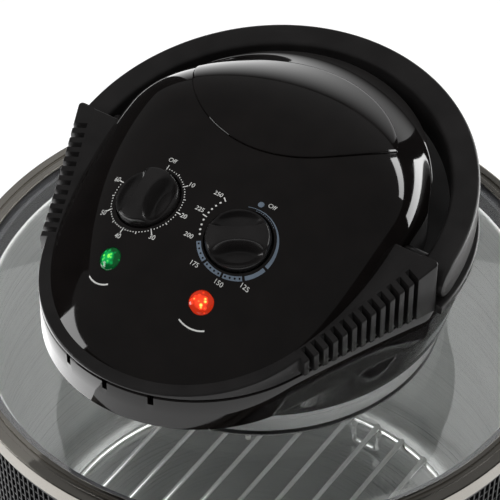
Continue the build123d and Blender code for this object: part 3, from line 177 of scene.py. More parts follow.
# ================================================================ mesh helpers
def make_mesh(name, points, faces, material, body, place=None, smooth=40, uvs=None):
    """New object from millimetre points, smooth-shaded below an angle, riding on a body."""
    data = bpy.data.meshes.new(name)
    if place:
        points = [place @ Vector(p) for p in points]
    data.from_pydata([Vector(p) * MM for p in points], [], faces)
    if uvs:
        layer = data.uv_layers.new(name="wrap")
        for loop in data.loops:
            layer.data[loop.index].uv = uvs[loop.vertex_index]
    data.validate()
    tidy = bmesh.new()
    tidy.from_mesh(data)
    bmesh.ops.remove_doubles(tidy, verts=tidy.verts, dist=1e-6)
    bmesh.ops.recalc_face_normals(tidy, faces=tidy.faces)
    tidy.to_mesh(data)
    tidy.free()
    data.shade_smooth()
    if smooth:
        data.set_sharp_from_angle(angle=radians(smooth))
    data.materials.append(material)
    piece = bpy.data.objects.new(name, data)
    bpy.context.scene.collection.objects.link(piece)
    if body:
        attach(piece, body)
    return piece


def rounded(corners, radius, steps=5, closed=True):
    """Polygon with its corners rounded; a corner may carry its own radius as a third value."""
    out = []
    n = len(corners)
    for i, corner in enumerate(corners):
        p = Vector(corner[:2])
        r = corner[2] if len(corner) > 2 else radius
        if (not closed and i in (0, n - 1)) or r <= 0:
            out.append(tuple(p))
            continue
        a, b = Vector(corners[i - 1][:2]), Vector(corners[(i + 1) % n][:2])
        u, v = (a - p).normalized(), (b - p).normalized()
        half = u.angle(v) / 2
        if half > radians(88):
            out.append(tuple(p))
            continue
        cut = min(r / tan(half), (a - p).length * 0.49, (b - p).length * 0.49)
        r = cut * tan(half)
        centre = p + (u + v).normalized() * (r / sin(half))
        t1, t2 = p + u * cut - centre, p + v * cut - centre
        sweep = t1.angle_signed(t2)
        for j in range(steps + 1):
            turn = -sweep * j / steps
            out.append(tuple(centre + Vector((
                t1.x * cos(turn) - t1.y * sin(turn), t1.x * sin(turn) + t1.y * cos(turn)))))
    return out


def circle(radius, count, z=0.0):
    return [(radius * cos(2 * pi * i / count), radius * sin(2 * pi * i / count), z)
            for i in range(count)]


def skin(levels, count, loop=False, arc=False):
    """Faces between equal rings of points: a loop also joins the last ring to the first, and an
    arc leaves each ring open."""
    faces = []
    for j in range(levels if loop else levels - 1):
        k = (j + 1) % levels
        for i in range(count - 1 if arc else count):
            i2 = (i + 1) % count
            faces.append((j * count + i, j * count + i2, k * count + i2, k * count + i))
    return faces


def stack(rings, ends=True):
    """Points and faces that skin a list of equal rings, with a face over each end."""
    n = len(rings[0])
    faces = skin(len(rings), n)
    if ends:
        faces.append(tuple(range(n))[::-1])
        faces.append(tuple((len(rings) - 1) * n + i for i in range(n)))
    return [p for ring in rings for p in ring], faces


def joined(forms):
    """Points and faces of several forms as one."""
    points, faces = [], []
    for more, sides in forms:
        base = len(points)
        points += more
        faces += [tuple(base + corner for corner in side) for side in sides]
    return points, faces


def lathe(name, profile, material, body, steps=256, start=0.0, arc=2 * pi, z=0.0, smooth=40):
    """Turns a closed (radius, height) profile about Z, with UVs along the surface."""
    full = abs(arc - 2 * pi) < 1e-6
    around = steps if full else steps + 1
    points, uvs, run = [], [], 0.0
    for j, (r, h) in enumerate(profile):
        if j:
            run += hypot(r - profile[j - 1][0], h - profile[j - 1][1])
        for i in range(around):
            t = start + arc * i / steps
            points.append((r * cos(t), r * sin(t), z + h))
            uvs.append((i / steps, run / 100))
    faces = skin(len(profile), around, loop=True, arc=not full)
    if not full:
        faces.append([j * around for j in range(len(profile))][::-1])
        faces.append([j * around + around - 1 for j in range(len(profile))])
    return make_mesh(name, points, faces, material, body, uvs=uvs, smooth=smooth)


def apply_modifiers(piece):
    """Bakes the piece's modifiers into its mesh."""
    graph = bpy.context.evaluated_depsgraph_get()
    data = bpy.data.meshes.new_from_object(piece.evaluated_get(graph))
    old = piece.data
    piece.modifiers.clear()
    piece.data = data
    bpy.data.meshes.remove(old)
    return piece


def cut(piece, cutters, smooth=40):
    """Cuts shapes out of a piece and clears the cutters away."""
    for cutter in cutters:
        step = piece.modifiers.new("cut", "BOOLEAN")
        step.operation = "DIFFERENCE"
        step.solver = "EXACT"
        step.object = cutter
    apply_modifiers(piece)
    for cutter in cutters:
        bpy.data.objects.remove(cutter)
    piece.data.shade_smooth()
    piece.data.set_sharp_from_angle(angle=radians(smooth))
    return piece


def peg_cutter(name, radius, low, high, place, count=96, round_foot=0.0):
    """Cylinder between two heights of a local frame, to cut a hole with."""
    profile = rounded([(0, low, 0), (radius, low, round_foot), (radius, high, 0), (0, high, 0)],
                      0, steps=6, closed=False)
    rings = [circle(r, count, h) for r, h in profile[1:-1]]
    return make_mesh(name, *stack(rings), plain_cutter(), None, place)


def box_cutter(name, low, high, place=None):
    (x0, y0, z0), (x1, y1, z1) = low, high
    rings = [[(x0, y0, z), (x1, y0, z), (x1, y1, z), (x0, y1, z)] for z in (z0, z1)]
    return make_mesh(name, *stack(rings), plain_cutter(), None, place, smooth=0)


def plain_cutter():
    return bpy.data.materials.get("cutter") or bpy.data.materials.new("cutter")


def baked(curve):
    """Mesh of a curve or a text, which is cleared away."""
    holder = bpy.data.objects.new(curve.name, curve)
    bpy.context.scene.collection.objects.link(holder)
    graph = bpy.context.evaluated_depsgraph_get()
    data = bpy.data.meshes.new_from_object(holder.evaluated_get(graph))
    bpy.data.objects.remove(holder)
    bpy.data.curves.remove(curve)
    return data


def wire_curve(name, runs, radius, material, body, cyclic=False):
    """Round wires along lists of millimetre points, baked to a mesh."""
    curve = bpy.data.curves.new(name, "CURVE")
    curve.dimensions = "3D"
    curve.bevel_depth = radius * MM
    curve.bevel_resolution = 6
    curve.use_fill_caps = True
    for run in runs:
        spline = curve.splines.new("POLY")
        spline.points.add(len(run) - 1)
        for point, place in zip(spline.points, run):
            point.co = (*[c * MM for c in place], 1)
        spline.use_cyclic_u = cyclic
    data = baked(curve)
    data.materials.clear()
    data.materials.append(material)
    data.shade_smooth()
    data.set_sharp_from_angle(angle=radians(50))
    piece = bpy.data.objects.new(name, data)
    bpy.context.scene.collection.objects.link(piece)
    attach(piece, body)
    return piece


# ================================================================ finishes
class Finish:
    """A material under construction, with short ways to add nodes."""

    def __init__(self, name):
        self.material = bpy.data.materials.new(name + "_finish")
        self.material.use_nodes = True
        self.tree = self.material.node_tree
        self.shader = self.tree.nodes["Principled BSDF"]
        self.coords = self.tree.nodes.new("ShaderNodeTexCoord")

    def node(self, kind, **values):
        made = self.tree.nodes.new(kind)
        for key, value in values.items():
            if key in made.inputs:
                made.inputs[key].default_value = value
            else:
                setattr(made, key, value)
        return made

    def link(self, source, target):
        self.tree.links.new(source, target)

    def stretched(self, space="Object", scale=(1, 1, 1)):
        place = self.node("ShaderNodeMapping")
        place.inputs["Scale"].default_value = scale
        self.link(self.coords.outputs[space], place.inputs["Vector"])
        return place.outputs["Vector"]

    def noise(self, vector, scale, detail=3.0, rough=0.55):
        cloud = self.node("ShaderNodeTexNoise", Scale=scale, Detail=detail, Roughness=rough)
        self.link(vector, cloud.inputs["Vector"])
        return cloud.outputs["Fac"]

    def spread(self, value, low, high, frm=0.3, to=0.7):
        ramp = self.node("ShaderNodeMapRange")
        ramp.inputs["From Min"].default_value = frm
        ramp.inputs["From Max"].default_value = to
        ramp.inputs["To Min"].default_value = low
        ramp.inputs["To Max"].default_value = high
        self.link(value, ramp.inputs["Value"])
        return ramp.outputs["Result"]

    def tint(self, value, dark, light, frm=0.3, to=0.7):
        ramp = self.node("ShaderNodeValToRGB")
        ramp.color_ramp.elements[0].position = frm
        ramp.color_ramp.elements[1].position = to
        ramp.color_ramp.elements[0].color = (*dark, 1)
        ramp.color_ramp.elements[1].color = (*light, 1)
        self.link(value, ramp.inputs["Fac"])
        self.link(ramp.outputs["Color"], self.shader.inputs["Base Color"])

    def bump(self, value, strength, distance):
        relief = self.node("ShaderNodeBump", Strength=strength, Distance=distance)
        self.link(value, relief.inputs["Height"])
        self.link(relief.outputs["Normal"], self.shader.inputs["Normal"])

    def set(self, **values):
        for key, value in values.items():
            self.shader.inputs[key.replace("_", " ")].default_value = value


def plastic(name, color, rough, spread=0.03, grain=0.0, specular=0.5, coat=0.0):
    """Moulded plastic: faint flow mottling, optional fine grain from the mould."""
    finish = Finish(name)
    place = finish.stretched()
    cloud = finish.noise(place, 60.0, detail=2.0)
    finish.tint(cloud, [c * 0.8 for c in color], [c * 1.2 for c in color])
    finish.link(finish.spread(cloud, rough - spread, rough + spread),
                finish.shader.inputs["Roughness"])
    if grain:
        finish.bump(finish.noise(place, 2600.0, detail=2.0), grain, 0.0002)
    else:
        finish.bump(finish.noise(place, 35.0, detail=1.0), 0.03, 0.0006)
    finish.set(Specular_IOR_Level=specular, Coat_Weight=coat, Coat_Roughness=0.04)
    return finish


def metal(name, color, rough, streaks=None, spread=0.06, space="UV", mottling=0.06, relief=0.05):
    """Sheet metal or wire: fine streaks along one direction, soft mottling."""
    finish = Finish(name)
    fine = finish.noise(finish.stretched(space, streaks or (1, 1, 1)), 1.0 if streaks else 900.0,
                        detail=4.0)
    broad = finish.noise(finish.stretched(), 25.0, detail=2.0)
    finish.tint(broad, [c * (1 - mottling) for c in color],
                [min(1, c * (1 + mottling)) for c in color])
    finish.link(finish.spread(fine, max(0.02, rough - spread), rough + spread),
                finish.shader.inputs["Roughness"])
    finish.bump(fine, relief, 0.0001)
    finish.set(Metallic=1.0)
    return finish


def rim_steel(name, color):
    """Rolled steel: darker and a little warmer than the bowl's."""
    return metal(name, [x * y for x, y in zip(color, (0.5, 0.47, 0.43))], 0.2,
                 streaks=(3.0, 1500.0, 1.0), spread=0.05, relief=0.04)


def bowl_steel(name, color):
    """Drawn steel with painted light and shade: darker in colour and fully metal on the floor of
    the bowl as painted shade, paler and less metal up its wall as painted light.
    """
    finish = metal(name, color, 0.3, streaks=(3.0, 500.0, 1.0), spread=0.05, mottling=0.03,
                   relief=0.03)
    parts = finish.node("ShaderNodeSeparateXYZ")
    finish.link(finish.coords.outputs["Object"], parts.inputs[0])
    height = parts.outputs["Z"]     # in metres; the bowl's bottom corner ends at 0.038
    # painted light: the metal share falls up the wall, so the wall shows pale as if lit
    finish.link(finish.spread(height, 0.95, 0.25, 0.024, 0.046), finish.shader.inputs["Metallic"])
    # painted shade: the colour is darkened on the floor of the bowl
    shade = finish.node("ShaderNodeVectorMath", operation="SCALE")
    color_in = finish.shader.inputs["Base Color"]
    finish.link(color_in.links[0].from_socket, shade.inputs[0])
    finish.link(finish.spread(height, 0.42, 1.0, 0.022, 0.034), shade.inputs["Scale"])
    finish.link(shade.outputs["Vector"], color_in)
    return finish


def clear(name, color, rough=0.0):
    """Clear or tinted glass with the faintest waviness."""
    finish = Finish(name)
    wave = finish.noise(finish.stretched(), 14.0, detail=1.0)
    finish.bump(wave, 0.01, 0.0005)
    finish.link(finish.spread(wave, rough, rough + 0.01), finish.shader.inputs["Roughness"])
    finish.set(Base_Color=(*color, 1), Transmission_Weight=1.0, IOR=1.46)
    return finish


def lens_plastic(name, color, side, middle, depth, strength):
    """Lit lens: a bright middle, a coloured body and a deep edge, broken up by its facets."""
    finish = Finish(name)
    gap = finish.node("ShaderNodeVectorMath", operation="DISTANCE")
    finish.link(finish.coords.outputs["Object"], gap.inputs[0])
    gap.inputs[1].default_value = lamp_frame(side).translation * MM
    cell = finish.node("ShaderNodeTexVoronoi", Scale=420.0)
    finish.link(finish.stretched(), cell.inputs["Vector"])
    cells = finish.spread(cell.outputs["Distance"], -0.22, 0.22, 0.1, 0.6)
    share = finish.spread(gap.outputs["Value"], 0.0, 1.0, 0.0, LAMP_R * MM)
    total = finish.node("ShaderNodeMath", operation="ADD", use_clamp=True)
    finish.link(share, total.inputs[0])
    finish.link(cells, total.inputs[1])
    finish.tint(total.outputs["Value"], middle, [x * depth for x in color], 0.24, 0.92)
    painted = finish.shader.inputs["Base Color"].links[0].from_socket
    stop = painted.node.color_ramp.elements.new(0.55)
    stop.color = (*color, 1)
    finish.link(painted, finish.shader.inputs["Emission Color"])
    finish.set(Emission_Strength=strength, Roughness=0.06, Specular_IOR_Level=0.7)
    return finish


# ================================================================ settings
class OvenShellSettings(bpy.types.PropertyGroup):
    """Sizes of the formed and moulded shells."""

    slat_count: IntProperty(
        name="Casing slats", description="Upright slats round the casing", default=270, min=24)
    hoop_pitch: FloatProperty(
        name="Hoop pitch", description="Distance between the casing's hoops",
        default=0.006, unit="LENGTH")
    wall_round: FloatProperty(
        name="Wall edge round", description="Radius on the upper edges of the head's walls",
        default=0.0012, unit="LENGTH")
    handle_round: FloatProperty(
        name="Handle round", description="Radius on the handle's long edges",
        default=0.0024, unit="LENGTH")


class OvenColourSettings(bpy.types.PropertyGroup):
    """Colours of the mouldings, metals, prints and lenses."""

    gloss: FloatVectorProperty(
        name="Polished plastic", description="Colour of the polished mouldings",
        default=(0.0045, 0.0035, 0.0033), subtype="COLOR")
    satin: FloatVectorProperty(
        name="Satin plastic", description="Colour of the satin mouldings",
        default=(0.012, 0.011, 0.011), subtype="COLOR")
    steel: FloatVectorProperty(
        name="Steel", description="Colour of the drawn steel",
        default=(0.93, 0.94, 0.93), subtype="COLOR")
    print_white: FloatVectorProperty(
        name="Dial print", description="Colour of the numbers and ticks",
        default=(0.62, 0.62, 0.6), subtype="COLOR")
    print_grey: FloatVectorProperty(
        name="Heat band", description="Colour of the temperature band",
        default=(0.12, 0.155, 0.2), subtype="COLOR")
    green: FloatVectorProperty(
        name="Green lens", description="Colour of the timer lamp",
        default=(0.0, 0.3, 0.06), subtype="COLOR")
    red: FloatVectorProperty(
        name="Red lens", description="Colour of the heating lamp",
        default=(0.9, 0.045, 0.012), subtype="COLOR")


class OvenStageSettings(bpy.types.PropertyGroup):
    """Floor, light and camera."""

    floor: FloatVectorProperty(
        name="Floor", description="Colour of the floor", default=(0.86, 0.86, 0.86),
        subtype="COLOR")
    floor_glow: FloatProperty(
        name="Floor glow", description="Extra strength with which the floor is seen",
        default=0.36)
    fill: FloatProperty(
        name="Fill light", description="Strength of the room's diffuse light", default=0.55)
    azimuth: FloatProperty(
        name="Camera azimuth", description="Turn of the camera from straight ahead",
        default=radians(33.92), subtype="ANGLE")
    elevation: FloatProperty(
        name="Camera elevation", description="Height of the camera as an angle",
        default=radians(43.6), subtype="ANGLE")
    distance: FloatProperty(
        name="Camera distance", description="From the rim's centre", default=1.328,
        unit="LENGTH")


def settings():
    return bpy.context.scene.oven_dresser


class OvenSettings(bpy.types.PropertyGroup):
    """All settings of the dresser."""

    shell: PointerProperty(type=OvenShellSettings)
    colour: PointerProperty(type=OvenColourSettings)
    stage: PointerProperty(type=OvenStageSettings)


# ================================================================ finishes by name
# maker, colour (a setting's name, or the colour itself) and the maker's other values
FINISHES = {
    "polished_black": (plastic, "gloss", dict(rough=0.05, spread=0.02, specular=0.45, coat=0.15)),
    "satin_black": (plastic, "satin", dict(rough=0.34, spread=0.05, grain=0.12, specular=0.45)),
    "knob_black": (plastic, "satin", dict(rough=0.24, spread=0.04, grain=0.05)),
    "matt_black": (plastic, (0.014, 0.014, 0.015),
                   dict(rough=0.5, spread=0.06, grain=0.25, specular=0.4)),
    "casing_black": (plastic, (0.010, 0.010, 0.011),
                     dict(rough=0.27, spread=0.05, grain=0.06, specular=0.6)),
    "foot_rubber": (plastic, (0.16, 0.16, 0.165),
                    dict(rough=0.75, spread=0.05, grain=0.4, specular=0.3)),
    "seal_rubber": (plastic, (0.045, 0.045, 0.05),
                    dict(rough=0.6, spread=0.06, grain=0.2, specular=0.3)),
    "ceramic_white": (plastic, (0.7, 0.68, 0.63), dict(rough=0.45, spread=0.08, grain=0.2)),
    "mica_sheet": (plastic, (0.42, 0.37, 0.27), dict(rough=0.5, spread=0.12, grain=0.1)),
    "printed_white": (plastic, "print_white",
                      dict(rough=0.45, spread=0.05, grain=0.1, specular=0.3)),
    "printed_grey": (plastic, "print_grey",
                     dict(rough=0.4, spread=0.05, grain=0.1, specular=0.3)),
    "brushed_bowl": (bowl_steel, "steel", {}),
    "polished_rim": (rim_steel, "steel", {}),
    "pale_collar": (metal, (0.8, 0.8, 0.8), dict(rough=0.3, streaks=(5.0, 700.0, 1.0))),
    "chromed_wire": (metal, (0.93, 0.93, 0.92),
                     dict(rough=0.14, space="Object", spread=0.05, relief=0.02)),
    "liner_sheet": (metal, (0.5, 0.5, 0.5),
                    dict(rough=0.32, streaks=(220.0, 220.0, 4.0), space="Object")),
    "black_steel": (metal, (0.03, 0.03, 0.032), dict(rough=0.4, space="Object", relief=0.1)),
    "plated_screw": (metal, (0.55, 0.54, 0.52), dict(rough=0.28, space="Object", relief=0.1)),
    "bright_reflector": (metal, (0.8, 0.8, 0.82), dict(rough=0.18, space="Object", mottling=0.04)),
    "lid_glass": (clear, (0.99, 1.0, 0.995), {}),
    "quartz": (clear, (0.95, 0.93, 0.9), dict(rough=0.05)),
    "bulb_glass": (clear, (1.0, 0.95, 0.85), dict(rough=0.02)),
    "green_lens": (lens_plastic, "green",
                   dict(side=-1, middle=(0.3, 1.0, 0.08), depth=0.15, strength=0.8)),
    "red_lens": (lens_plastic, "red",
                 dict(side=1, middle=(1.0, 0.72, 0.12), depth=0.3, strength=1.2)),
}


def finish(name):
    """The named finish, made the first time that it is asked for."""
    made = bpy.data.materials.get(name + "_finish")
    if made:
        return made
    maker, color, values = FINISHES[name]
    if isinstance(color, str):
        color = getattr(settings().colour, color)
    return maker(name, color, **values).material


# ================================================================ base pieces
CASING_FOOT, CASING_TOP = (163.0, 12.0), (170.0, 247.2)
SLAT_RELIEF, HOOP_BAND, TOP_BEAD, CASING_WALL = 1.6, 7.0, 2.5, 3.0


def casing_r(z):
    """Radius of the tapered casing at a height."""
    share = (z - CASING_FOOT[1]) / (CASING_TOP[1] - CASING_FOOT[1])
    return CASING_FOOT[0] + share * (CASING_TOP[0] - CASING_FOOT[0])


def build_casing():
    """Tapered shell with smooth end bands and, between them, slats crossed by fine hoops."""
    low, high = CASING_FOOT[1] + HOOP_BAND, CASING_TOP[1] - TOP_BEAD
    inner = -CASING_WALL
    shell = lathe("casing_shell", rounded([
        (CASING_FOOT[0] + inner, CASING_FOOT[1], 0.3), (*CASING_FOOT, 0.8),
        (casing_r(low), low, 0.5),
        (casing_r(low) - SLAT_RELIEF, low, 0.3), (casing_r(high) - SLAT_RELIEF, high, 0.3),
        (casing_r(high), high, 0.5), (*CASING_TOP, 0.5),
        (CASING_TOP[0] + inner, CASING_TOP[1], 0.3)], 0.4, steps=3),
        finish("casing_black"), "base", steps=256)
    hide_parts("outer_casing")
    count = settings().shell.slat_count
    half, chamfer = 0.5, 0.22
    section = [(-SLAT_RELIEF, -half), (-chamfer, -half), (0.0, -half + chamfer),
               (0.0, half - chamfer), (-chamfer, half), (-SLAT_RELIEF, half)]

    def slat_end(turn, z):
        ring = []
        for out, side in section:
            r = casing_r(z) + out
            ring.append((r * cos(turn) - side * sin(turn), r * sin(turn) + side * cos(turn), z))
        return ring

    turns = [2 * pi * (i + 0.5) / count for i in range(count)]
    slats = make_mesh("casing_slats", *joined(
        stack([slat_end(turn, low), slat_end(turn, high)]) for turn in turns),
        finish("casing_black"), "base", smooth=30)
    rows = int((high - low) / (settings().shell.hoop_pitch / MM))
    lift = 0.45
    section = [(-SLAT_RELIEF, -0.5), (-lift - 0.3, -0.5), (-lift, -0.25), (-lift, 0.25),
               (-lift - 0.3, 0.5), (-SLAT_RELIEF, 0.5)]
    bands = []
    for row in range(1, rows):
        z = low + (high - low) * row / rows
        points = []
        for out, rise in section:
            points += circle(casing_r(z + rise) + out, count, z + rise)
        bands.append((points, skin(len(section), count, loop=True)))
    hoops = make_mesh("casing_hoops", *joined(bands), finish("casing_black"), "base", smooth=30)

BOWL_R, BOWL_CORNER, BOWL_SHEET = 152.0, 18.0, 0.8
FLANGE_R, FLANGE_Z, FLANGE_BEND = 167.0, 248.0, 6.0


def build_bowl():
    """Drawn steel bowl with a round bottom corner and a flange."""
    inner, outer, bends = [], [], 16
    for side, grow in ((inner, 0.0), (outer, BOWL_SHEET)):
        side.append((0.01, BOWL_FLOOR - grow))
        for i in range(1, 8):
            side.append(((BOWL_R - BOWL_CORNER) * i / 8, BOWL_FLOOR - grow))
        for i in range(bends + 1):
            turn = pi / 2 * i / bends
            side.append((BOWL_R - BOWL_CORNER + (BOWL_CORNER + grow) * sin(turn),
                         BOWL_FLOOR + BOWL_CORNER - (BOWL_CORNER + grow) * cos(turn)))
        for i in range(1, 12):
            side.append((BOWL_R + grow, BOWL_FLOOR + BOWL_CORNER
                         + (FLANGE_Z - 2.2 - BOWL_FLOOR - BOWL_CORNER) * i / 12))
    lip = rounded([
        (BOWL_R, FLANGE_Z - FLANGE_BEND, 0), (BOWL_R, FLANGE_Z, 2.0), (FLANGE_R, FLANGE_Z, 0.3),
        (FLANGE_R, FLANGE_Z - BOWL_SHEET, 0.3), (BOWL_R + BOWL_SHEET, FLANGE_Z - BOWL_SHEET, 1.6),
        (BOWL_R + BOWL_SHEET, FLANGE_Z - FLANGE_BEND, 0)], 0.3, steps=6, closed=False)
    profile = inner + lip + outer[::-1]
    bowl = lathe("drawn_bowl", profile, finish("brushed_bowl"), "base", steps=320, smooth=50)
    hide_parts("bowl")


RACK_R, RACK_Z, RING_WIRE, RACK_WIRE = 130.0, 35.0, 2.6, 2.0
RACK_FIRST, RACK_PITCH, RACK_COUNT = -111.0, 19.5, 13


def build_rack():
    """Low wire rack: a ring with straight cross wires welded on top."""
    hoop = wire_curve("rack_hoop", [circle(RACK_R, 240, RACK_Z)], RING_WIRE,
                      finish("chromed_wire"), "base", cyclic=True)
    runs = []
    z = RACK_Z + RING_WIRE + RACK_WIRE
    for i in range(RACK_COUNT):
        x = RACK_FIRST + i * RACK_PITCH
        reach = sqrt(RACK_R**2 - x**2)
        runs.append([(x, -reach + 2 * reach * j / 24, z) for j in range(25)])
    wires = wire_curve("rack_cross_wires", runs, RACK_WIRE, finish("chromed_wire"), "base")
    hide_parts("rack_ring")
    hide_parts("rack_wires")


# ================================================================ lid pieces
GLASS_R, GLASS_HOLE, GLASS_T, GLASS_EDGE = 163.0, 95.0, 4.0, 0.8
GLASS_LOW, GLASS_DOME = -0.4, 3.95
BAND_R, BAND_LIP, BAND_TOP, BAND_FOOT = 172.0, 160.5, 1.2, -10.5
GROOVE_IN, GROOVE_OUT, GROOVE_DEPTH = 163.5, 166.5, 1.6
COLLAR_FOOT_R, COLLAR_TOP_R, COLLAR_LIP_R, COLLAR_TOP, COLLAR_SHEET = 101.0, 104.4, 94.4, 20.0, 0.8


def glass_z(radius):
    """Height of the domed glass's upper surface at a radius, above the rim plane."""
    share = (GLASS_R**2 - radius**2) / (GLASS_R**2 - GLASS_HOLE**2)
    return GLASS_LOW + GLASS_DOME * share


def build_lid_glass():
    """Ring of clear glass, slightly domed, its edges ground round."""
    width = GLASS_R - GLASS_HOLE - 2 * GLASS_EDGE
    radii = [GLASS_HOLE + GLASS_EDGE + width * i / 24 for i in range(25)]
    top = [(r, glass_z(r)) for r in radii]
    bottom = [(r, z - GLASS_T) for r, z in top][::-1]
    outer, inner = [
        [(r, glass_z(r) - GLASS_EDGE), (r, glass_z(r) - GLASS_T + GLASS_EDGE)]
        for r in (GLASS_R, GLASS_HOLE)]
    pane = lathe("glass_pane", top + outer + bottom + inner[::-1], finish("lid_glass"), "lid",
                 steps=320, z=RIM_Z)
    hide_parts("lid_glass")


def build_rim():
    """Steel band round the glass: inner lip, groove, flat face and rounded outer edge, all in one
    finish.
    """
    groove = BAND_TOP - GROOVE_DEPTH
    band = lathe("rim_hoop", rounded([
        (BAND_LIP, glass_z(BAND_LIP) + 0.15, 0.2), (BAND_LIP + 0.6, BAND_TOP, 0.6),
        (GROOVE_IN, BAND_TOP, 0.5), (GROOVE_IN, groove, 0.3), (GROOVE_OUT, groove, 0.3),
        (GROOVE_OUT, BAND_TOP, 0.5), (BAND_R, BAND_TOP - 0.4, 2.4), (BAND_R, BAND_FOOT, 0.5),
        (GLASS_R + 0.15, BAND_FOOT, 0.3), (GLASS_R + 0.15, -0.25, 0.1)], 0.3, steps=6),
        finish("polished_rim"), "lid", steps=320, z=RIM_Z)
    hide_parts("rim_band")
    foot, under = glass_z(COLLAR_FOOT_R) + 0.2, COLLAR_TOP - COLLAR_SHEET
    collar = lathe("collar_ring", rounded([
        (COLLAR_FOOT_R, foot, 0.2), (COLLAR_TOP_R, COLLAR_TOP, 0.8),
        (COLLAR_LIP_R, COLLAR_TOP, 0.2), (COLLAR_LIP_R, under, 0.2),
        (COLLAR_TOP_R - COLLAR_SHEET, under, 0.5),
        (COLLAR_FOOT_R - COLLAR_SHEET, foot, 0.2)], 0.2),
        finish("pale_collar"), "lid", steps=320, z=RIM_Z)
    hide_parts("collar")


HOUSING_R, HOUSING_FOOT, HOUSING_BAND, HOUSING_TOP, WALL_FOOT = 106.3, 20.0, 4.0, 58.7, 38.0
NOTCH_W, NOTCH_H, NOTCH_X = 3.0, 6.0, 25.5
MOULD_WALL, HUB_HOLE = 2.6, 6.0


def round_twin(points, radius):
    """Circle points that pair with the head outline's, as arcs between the same corners."""
    return [(radius * cos(atan2(y, x)), radius * sin(atan2(y, x))) for x, y in points]


def build_housing():
    """Lower shell: a round foot that spreads to the head's upright walls, hollow inside."""
    def ring(grow, share, height):
        walls = head_outline(grow)
        foot = round_twin(walls, HOUSING_R + grow)
        return [(a[0] + (b[0] - a[0]) * share, a[1] + (b[1] - a[1]) * share, RIM_Z + height)
                for a, b in zip(foot, walls)]

    def hole(height):
        return [(x, y, RIM_Z + height) for x, y in round_twin(head_outline(), HUB_HOLE)]

    foot, floor = HOUSING_FOOT, HOUSING_FOOT + MOULD_WALL
    low = foot + HOUSING_BAND
    steps = 8
    outside = [(-1.2, 0.0, foot), (-0.35, 0.0, foot + 0.35), (0.0, 0.0, 21.2), (0.0, 0.0, 23.4)]
    outside += [(0.0, i / steps, low + (WALL_FOOT - low) * (i / steps)) for i in range(steps + 1)]
    outside += [(0.0, 1.0, 39.2), (0.0, 1.0, 48.0), (0.0, 1.0, 57.9), (-0.2, 1.0, 58.4),
                (-0.6, 1.0, HOUSING_TOP)]
    inside = [(-MOULD_WALL, 1.0, HOUSING_TOP), (-MOULD_WALL, 1.0, 40.0)]
    for i in range(steps, -1, -1):
        inside.append((-MOULD_WALL, i / steps, 24.8 + (WALL_FOOT + 0.8 - 24.8) * i / steps))
    inside.append((-MOULD_WALL - 1.0, 0.0, floor))
    rings = [hole(foot)] + [ring(*values) for values in outside + inside]
    rings += [hole(floor), hole(foot)]
    shell = make_mesh("head_underside", *stack(rings, ends=False), finish("polished_black"), "lid")
    cutters = []
    for x in (-NOTCH_X, 0.0, NOTCH_X):
        y = NOSE_Y - sqrt(NOSE_R**2 - x**2)
        cutters.append(box_cutter("notch", (x - NOTCH_W / 2, y - 6, RIM_Z + SPLIT - NOTCH_H),
                                  (x + NOTCH_W / 2, y + 6, RIM_Z + SPLIT + 3)))
    cut(shell, cutters)
    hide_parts("lower_housing")


DIAL_R, DIAL_DEPTH, LAMP_R = 18.0, 6.0, 6.2


def lamp_frame(side):
    """Plane of a lamp on the crown: side is -1 for the timer's and 1 for the heat dial's."""
    return crown_frame(side * LAMP_X, LAMP_Y)


def build_crown():
    """Polished crown with the two dial recesses and the lamp holes."""
    levels, count = 84, 240
    turns = [2 * pi * i / count for i in range(count)]
    rings = [[(x, y, RIM_Z + SPLIT) for x, y in (crown_contour(0.0, turn) for turn in turns)]]
    for j in range(levels):
        k = 1 - (1 - (j / levels) ** 1.3) ** 3
        rings.append([(x, y, RIM_Z + crown_base(y) + k * CROWN_H)
                      for x, y in (crown_contour(k, turn) for turn in turns)])
    crown = make_mesh("head_crown", *stack(rings), finish("polished_black"), "lid")
    cutters = [peg_cutter("recess", DIAL_R, -DIAL_DEPTH, 40.0, place, count=128, round_foot=0.8)
               for place in (TIMER_FRAME, HEAT_FRAME)]
    cutters += [peg_cutter("lamp_hole", LAMP_R + 0.25, -12.0, 12.0, lamp_frame(side))
                for side in (-1, 1)]
    cut(crown, cutters, smooth=32)
    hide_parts("top_cover")


def blocks_outline(inset, count=240):
    """Plan of the side blocks and nose: the head's outline cut straight behind the blocks."""
    rear = WALL_Y - inset
    outline = head_outline(-inset, 2 * count)
    walls = [p for p in outline if p[1] < rear]
    before, after = outline[outline.index(walls[0]) - 1], walls[0]
    share = (before[1] - rear) / (before[1] - after[1])
    corner = before[0] + (after[0] - before[0]) * share
    walls = [(corner, rear)] + walls + [(-corner, rear)]
    return evenly(walls, count)


def evenly(line, count):
    """The same open line with evenly spaced points."""
    runs = [0.0]
    for a, b in zip(line, line[1:]):
        runs.append(runs[-1] + hypot(b[0] - a[0], b[1] - a[1]))
    points, j = [], 0
    for i in range(count):
        target = runs[-1] * i / (count - 1)
        while j < len(line) - 2 and runs[j + 1] < target:
            j += 1
        share = (target - runs[j]) / (runs[j + 1] - runs[j])
        points.append(tuple(a + (b - a) * share for a, b in zip(line[j], line[j + 1])))
    return points


VENT_FINS, VENT_PITCH, VENT_SLOT, VENT_FIRST = 13, 5.85, 2.9, 7.3
VENT_PROUD, VENT_DEPTH, VENT_CUT, VENT_FLOOR = 3.6, 6.0, 8.0, 2.5
VENT_HALF = (VENT_PITCH - VENT_SLOT) / 2
VENT_START = VENT_FIRST - VENT_HALF
VENT_EDGE = 0.22
END_ROUND = 2.2
LEDGE_IN, LEDGE_R, LEDGE_TOP = 80.0, 117.0, 64.5
LUG_IN, LUG_OUT, LUG_R, LUG_FOOT = 86.0, 99.0, 7.0, 60.0


